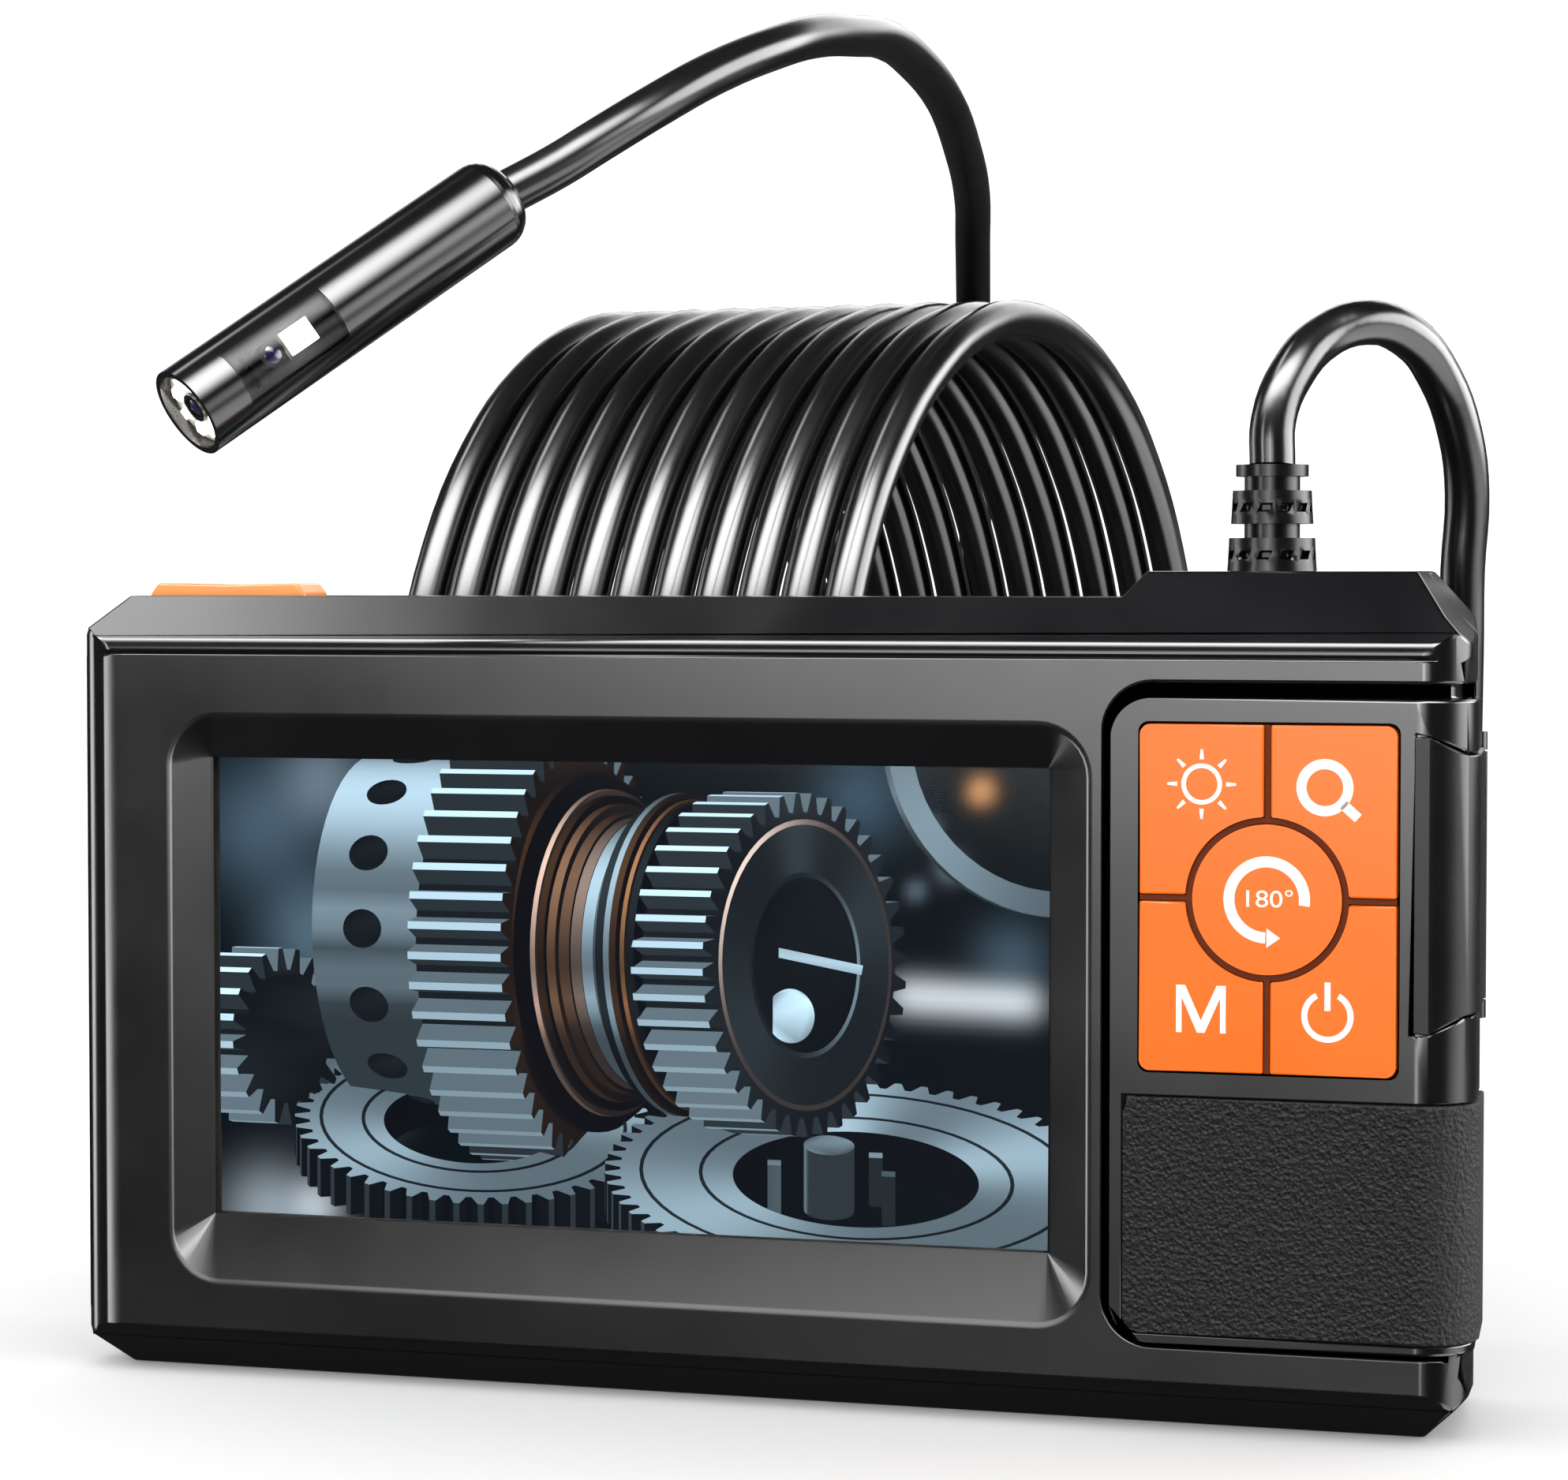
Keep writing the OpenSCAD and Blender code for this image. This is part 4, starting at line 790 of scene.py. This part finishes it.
def backdrop(bm, layer, width, height):
    """Blurred lamps and shadows behind the wheels."""
    # place across and up, size as a share of the width, and colour
    blurs = [(0.05, 0.85, 0.07, (0.07, 0.12, 0.17)), (0.12, 0.62, 0.06, (0.10, 0.17, 0.23)),
        (0.13, 0.95, 0.05, (0.16, 0.22, 0.28)), (0.10, 0.40, 0.035, (0.28, 0.36, 0.42)),
        (0.17, 0.28, 0.045, (0.24, 0.30, 0.36)), (0.14, 0.435, 0.014, (0.75, 0.34, 0.12)),
        (0.78, 0.93, 0.05, (0.04, 0.09, 0.14)), (0.92, 0.95, 0.016, (0.75, 0.36, 0.14)),
        (0.86, 0.87, 0.012, (0.16, 0.20, 0.24)), (0.885, 0.79, 0.016, (0.14, 0.18, 0.22)),
        (0.845, 0.74, 0.012, (0.10, 0.14, 0.18)), (0.955, 0.60, 0.04, (0.06, 0.10, 0.14)),
        (0.06, 0.0, 0.05, (0.35, 0.42, 0.48)), (0.12, 0.02, 0.03, (0.5, 0.56, 0.62))]
    blurs += [(0.83 + 0.018 * i, 0.52 - 0.001 * i, 0.02, (0.38, 0.42, 0.45)) for i in range(9)]
    grid = bmesh.ops.create_grid(bm, x_segments=120, y_segments=64, size=0.5,
        matrix=Matrix.Translation((width / 2, height / 2, -40)) @ Matrix.Diagonal((width, height, 1, 1)))
    faces = {f for v in grid["verts"] for f in v.link_faces}
    for face in faces:
        for loop in face.loops:
            u, v = loop.vert.co.x / width, loop.vert.co.y / height
            colour = Vector((0.004, 0.008, 0.012))
            for bu, bv, size, tint in blurs:
                far = ((u - bu) ** 2 + ((v - bv) * height / width) ** 2) / size ** 2
                colour += Vector(tint) * math.exp(-far)
            loop[layer] = (*colour, 1.0)


class CAMERA_OT_screen(bpy.types.Operator):
    """Makes the picture on the display: a shaft of gears over two flat wheels"""
    bl_idname = "camera_build.screen"
    bl_label = "Display picture"

    def execute(self, context):
        low, high = BOX["screen_gasket"]
        rim = 1.9
        x0, z0 = low.x / MM + rim, low.z / MM + rim
        w, h = high.x / MM - x0 - rim, high.z / MM - z0 - rim
        back = BOX["display_panel"][0].y / MM - 0.02
        picture = Picture()
        backdrop(picture.bm, picture.colour, w, h)
        steep, open_yaw = 66, 52
        # drum with windows, behind the large gear
        drum = (0.335 * w, 0.63 * h, -22, steep)
        picture.add(disc(20.5, 15), leaning(*drum), STEEL, rim=STEEL, light=drum_light)
        for i in range(14):
            window = leaning(*drum, 0, i * 25.7) @ Matrix.Translation((19.3, 0, -8)) \
                @ Matrix.Rotation(math.radians(90), 4, "Y") @ Matrix.Diagonal((1.15, 1, 1, 1))
            picture.add(disc(2.3, 0.1, steps=20), window @ Matrix.Translation((0, 0, 1.3)), STEEL * 0.03)
        # large gear
        large = leaning(0.452 * w, 0.60 * h, -10, steep)
        picture.add(gear(25, 44, 12.7, 2.6), large, COPPER * 0.03, teeth=(25, 2.6), rim=STEEL)
        # flanges, fillets and collars along the shaft: how far right, radius, length and colour
        shaft = ((0.47, 20.8, 1.0, COPPER * 0.06), (0.487, 18.9, 0.7, COPPER * 0.9 + STEEL * 0.6),
            (0.494, 18.2, 1.0, COPPER * 0.08), (0.503, 17.2, 1.2, COPPER * 0.35 + STEEL * 0.05),
            (0.515, 16.2, 1.5, COPPER * 0.24 + STEEL * 0.05),
            (0.527, 15.7, 1.5, STEEL * 0.25 + COPPER * 0.3), (0.541, 15.6, 1.6, STEEL * 1.4),
            (0.553, 15.7, 1.3, STEEL * 0.4), (0.566, 18.0, 1.2, STEEL * 0.08),
            (0.575, 18.6, 0.8, STEEL * 1.2), (0.583, 18.6, 0.9, COPPER * 0.12),
            (0.590, 17.9, 0.6, COPPER * 0.6), (0.60, 17.6, 1.0, STEEL * 0.05))
        for i, (along, radius, length, tint) in enumerate(shaft):
            picture.add(disc(radius, length), leaning(along * w, 0.592 * h, -8 + i * 0.8, 60), tint * 0.05,
                rim=tint)
        # small gear with its chamfer and bore, then a bright disc and bar painted as highlights in the bore
        small = leaning(0.715 * w, 0.578 * h, 8, open_yaw)
        picture.add(gear(19.6, 40, 11, 2.2), small, STEEL * 0.04, teeth=(19.6, 2.2), rim=STEEL * 1.1)
        for radius, hole, tint, light in ((16.6, 16.0, COPPER * 0.6 + STEEL * 0.7, edge_light),
                (16.0, 10.6, STEEL * 0.07, face_light), (10.6, 10.0, STEEL * 0.5, bore_light),
                (10.0, 0, STEEL * 0.015, face_light)):
            picture.add(disc(radius, 0.1, hole), small @ Matrix.Translation((0, 0, 0.2)), tint, light=light)
        picture.add(disc(3.1, 0.1), leaning(0.70 * w, 0.47 * h, 12, 25), STEEL * 2.2)
        picture.add(block((0, 0, 0), (12, 1.1, 0.2)), leaning(0.725 * w, 0.59 * h, 12, 0, 0, -10),
            STEEL * 2.0)
        # flat wheels below, with ring lines, bores and a hub: place, lean, radius, bore and number of teeth
        for x, y, z, lean, radius, bore, count in ((0.315, 0.215, -12, -65, 22.3, 11, 46),
                (0.775, 0.13, 16, -68, 30, 14.5, 60)):
            flat = leaning(x * w, y * h, z, 0, lean)
            picture.add(gear(radius, count, 5, 1.9, bore), flat, STEEL, teeth=(radius, 1.9), rim=STEEL * 0.12)
            for part in (0.86, 0.62):
                picture.add(disc(radius * part, 0.1, radius * part - 0.45),
                    flat @ Matrix.Translation((0, 0, 0.2)), STEEL * 0.05)
        hub = leaning(0.745 * w, 0.20 * h, 26, 0, -68)
        picture.add(disc(3.0, 8), hub, STEEL * 0.6, rim=STEEL * 0.7)
        for x, y in ((-6.5, -1.0), (5.5, 2.5), (7.0, -3.0)):
            picture.add(block((x, y, -5), (1.6, 1.6, 6)), hub, STEEL * 0.6, rim=STEEL * 0.4)
        # wheel at the left and ring at the upper right
        picture.add(gear(10.5, 20, 8, 2.6), leaning(0.085 * w, 0.39 * h, -14, 48), STEEL * 0.03,
            teeth=(10.5, 2.6), rim=STEEL * 1.1)
        picture.add(disc(20.5, 3, 17.6), leaning(1.01 * w, 1.07 * h, -16, 12), STEEL * 0.7)
        # flatten it to 0.3 mm in front of the display, then cut it at the display's edges
        bm = picture.bm
        deep = [v.co.z for v in bm.verts]
        near, far = max(deep), min(deep)
        for v in bm.verts:
            v.co = Vector((x0 + v.co.x, back - 0.3 * (v.co.z - far) / (near - far), z0 + v.co.y))
        for plane, out in (((x0, 0, 0), (-1, 0, 0)), ((x0 + w, 0, 0), (1, 0, 0)),
                ((0, 0, z0), (0, 0, -1)), ((0, 0, z0 + h), (0, 0, 1))):
            bmesh.ops.bisect_plane(bm, geom=bm.verts[:] + bm.edges[:] + bm.faces[:], plane_co=plane,
                plane_no=out, clear_outer=True)
        bmesh.ops.scale(bm, vec=(MM, MM, MM), verts=bm.verts)
        finished("display_picture", bm, "display", "monitor", material=MATERIALS["picture"])
        return {"FINISHED"}


# ---- frame finishes ----

class CAMERA_OT_finishes(bpy.types.Operator):
    """Gives every node of the frame its finish"""
    bl_idname = "camera_build.finishes"
    bl_label = "Finishes"

    def execute(self, context):
        for node, piece in NODES.items():
            finish = MATERIALS[OWN_FINISH.get(node, SLOTS[node])]
            if not piece.material_slots:
                piece.data.materials.append(finish)
            for holder in piece.material_slots:
                holder.material = finish
        return {"FINISHED"}


# ---- stage ----

# Soft boxes round the object, as a gloss sees them: azimuth from -Y towards +X and height in degrees,
# half width and half height in degrees, share of it that is evenly lit, and brightness
SOFT_BOXES = (
    (-3.5, 5, 25.5, 10.5, 0.7, 6.2),  # in front: the sheen of the front face, fading to the left
    (-1, 3, 3.5, 20, 0.4, 14.0),  # narrow strip in front: lines along upright edges
    (-4, -4, 24, 30, 0.3, 0.6),  # wide and weak: fills the right of the front face
    (-39, 0, 5.5, 40, 0.4, 13.0),  # tall strip at the left: line down the left edge
    (-98, 5, 14, 30, 0.5, 5.0),  # far left: left edge of the panel
    (-90, 61, 20, 7.5, 0.5, 8.0),  # upper left: left end of the top chamfer
    (0, 58, 75, 23, 0.4, 26.0),  # high in front: near strands of the coil
    (107, 16, 46, 24, 0.5, 13.0),  # right: upper right corner
    (90, -38, 45, 42, 0.6, 4.2),  # low at the right: lower half of the probe
    (170, 26, 60, 18, 0.3, 3.0),  # behind: rims of the far strands
)


def studio(scene, strength):
    """Even white surroundings, which gloss sees as dark ones with soft boxes in them."""
    world = bpy.data.worlds.new("studio")
    world.use_nodes = True
    world.cycles.sampling_method = "NONE"
    tree = world.node_tree
    tree.nodes.clear()
    direction = add_node(tree, "ShaderNodeTexCoord").outputs["Generated"]
    light = None
    for azimuth, height, half_width, half_height, even, brightness in SOFT_BOXES:
        a, h = math.radians(azimuth), math.radians(height)
        aim = Vector((math.sin(a) * math.cos(h), -math.cos(a) * math.cos(h), math.sin(h)))
        placed = add_node(tree, "ShaderNodeMapping", {"Vector": direction, "Location": aim,
            "Rotation": aim.to_track_quat("Z", "Y").to_euler(),
            "Scale": (math.sin(math.radians(half_width)), math.sin(math.radians(half_height)), 1.0)},
            vector_type="TEXTURE")
        near = add_node(tree, "ShaderNodeTexGradient", {"Vector": placed.outputs[0]},
            gradient_type="SPHERICAL")
        lit = add_node(tree, "ShaderNodeMapRange", {"Value": near.outputs["Fac"], "From Max": 1 - even,
            "To Max": brightness}, interpolation_type="SMOOTHSTEP")
        light = add_node(tree, "ShaderNodeMath", {0: lit.outputs[0], 1: light.outputs[0] if light else 0.05},
            operation="ADD")
    boxes = add_node(tree, "ShaderNodeBackground", {"Color": (1, 1, 1, 1), "Strength": light.outputs[0]})
    pale = add_node(tree, "ShaderNodeBackground", {"Color": (1, 1, 1, 1), "Strength": strength * 1.25})
    rays = add_node(tree, "ShaderNodeLightPath")
    mix = add_node(tree, "ShaderNodeMixShader", {0: rays.outputs["Is Glossy Ray"], 1: pale.outputs[0],
        2: boxes.outputs[0]})
    add_node(tree, "ShaderNodeOutputWorld", {"Surface": mix.outputs[0]})
    scene.world = world
    scene.view_settings.view_transform = "Standard"


class CAMERA_OT_stage(bpy.types.Operator):
    """Sets the camera, the floor and the soft lights"""
    bl_idname = "camera_build.stage"
    bl_label = "Stage"

    def execute(self, context):
        scene = context.scene
        settings = scene.camera_stage
        lens = bpy.data.cameras.new("camera")
        lens.lens = settings.lens
        lens.sensor_width = 36.0
        lens.clip_end = 50.0
        camera = bpy.data.objects.new("camera", lens)
        camera.location = CAMERA_PLACE
        camera.rotation_euler = (math.radians(90 - CAMERA_DOWN), 0, math.radians(CAMERA_TURN))
        scene.collection.objects.link(camera)
        scene.camera = camera

        bm = bmesh.new()
        bmesh.ops.create_grid(bm, x_segments=8, y_segments=8, size=6.0)
        mesh = bpy.data.meshes.new("floor")
        bm.to_mesh(mesh)
        bm.free()
        floor = bpy.data.objects.new("floor", mesh)
        scene.collection.objects.link(floor)
        mesh.materials.append(moulded("pale_paper", tuple(settings.floor_colour), 0.9, grain=2, depth=0.01,
            mottle=0.005, cloud=400, Specular_IOR_Level=0.0))
        floor.visible_glossy = False

        studio(scene, settings.light)
        return {"FINISHED"}


class CAMERA_PT_panel(bpy.types.Panel):
    """Lists the pieces and their settings"""
    bl_label = "Inspection camera"
    bl_idname = "CAMERA_PT_panel"
    bl_space_type = "VIEW_3D"
    bl_region_type = "UI"
    bl_category = "Inspection camera"

    def draw(self, context):
        for step in STEPS:
            self.layout.operator(step.bl_idname)
        for group in GROUPS:
            settings = getattr(context.scene, group)
            for name in settings.bl_rna.properties.keys():
                if name not in ("rna_type", "name"):
                    self.layout.prop(settings, name)


GROUPS = {"camera_case": CaseSettings, "camera_keys": KeySettings, "camera_cable": CableSettings,
    "camera_stage": StageSettings}
STEPS = (CAMERA_OT_stage, CAMERA_OT_cable, CAMERA_OT_finishes, CAMERA_OT_case, CAMERA_OT_keys,
    CAMERA_OT_screen, CAMERA_OT_probe)
CLASSES = tuple(GROUPS.values()) + STEPS + (CAMERA_PT_panel,)


def register():
    for item in CLASSES:
        bpy.utils.register_class(item)
    for name, group in GROUPS.items():
        setattr(bpy.types.Scene, name, PointerProperty(type=group))


def unregister():
    for name in GROUPS:
        delattr(bpy.types.Scene, name)
    for item in reversed(CLASSES):
        bpy.utils.unregister_class(item)


def main():
    register()
    MATERIALS.update(make_materials())
    for step in STEPS:
        group, name = step.bl_idname.split(".")
        getattr(getattr(bpy.ops, group), name)()


if __name__ == "__main__":
    main()
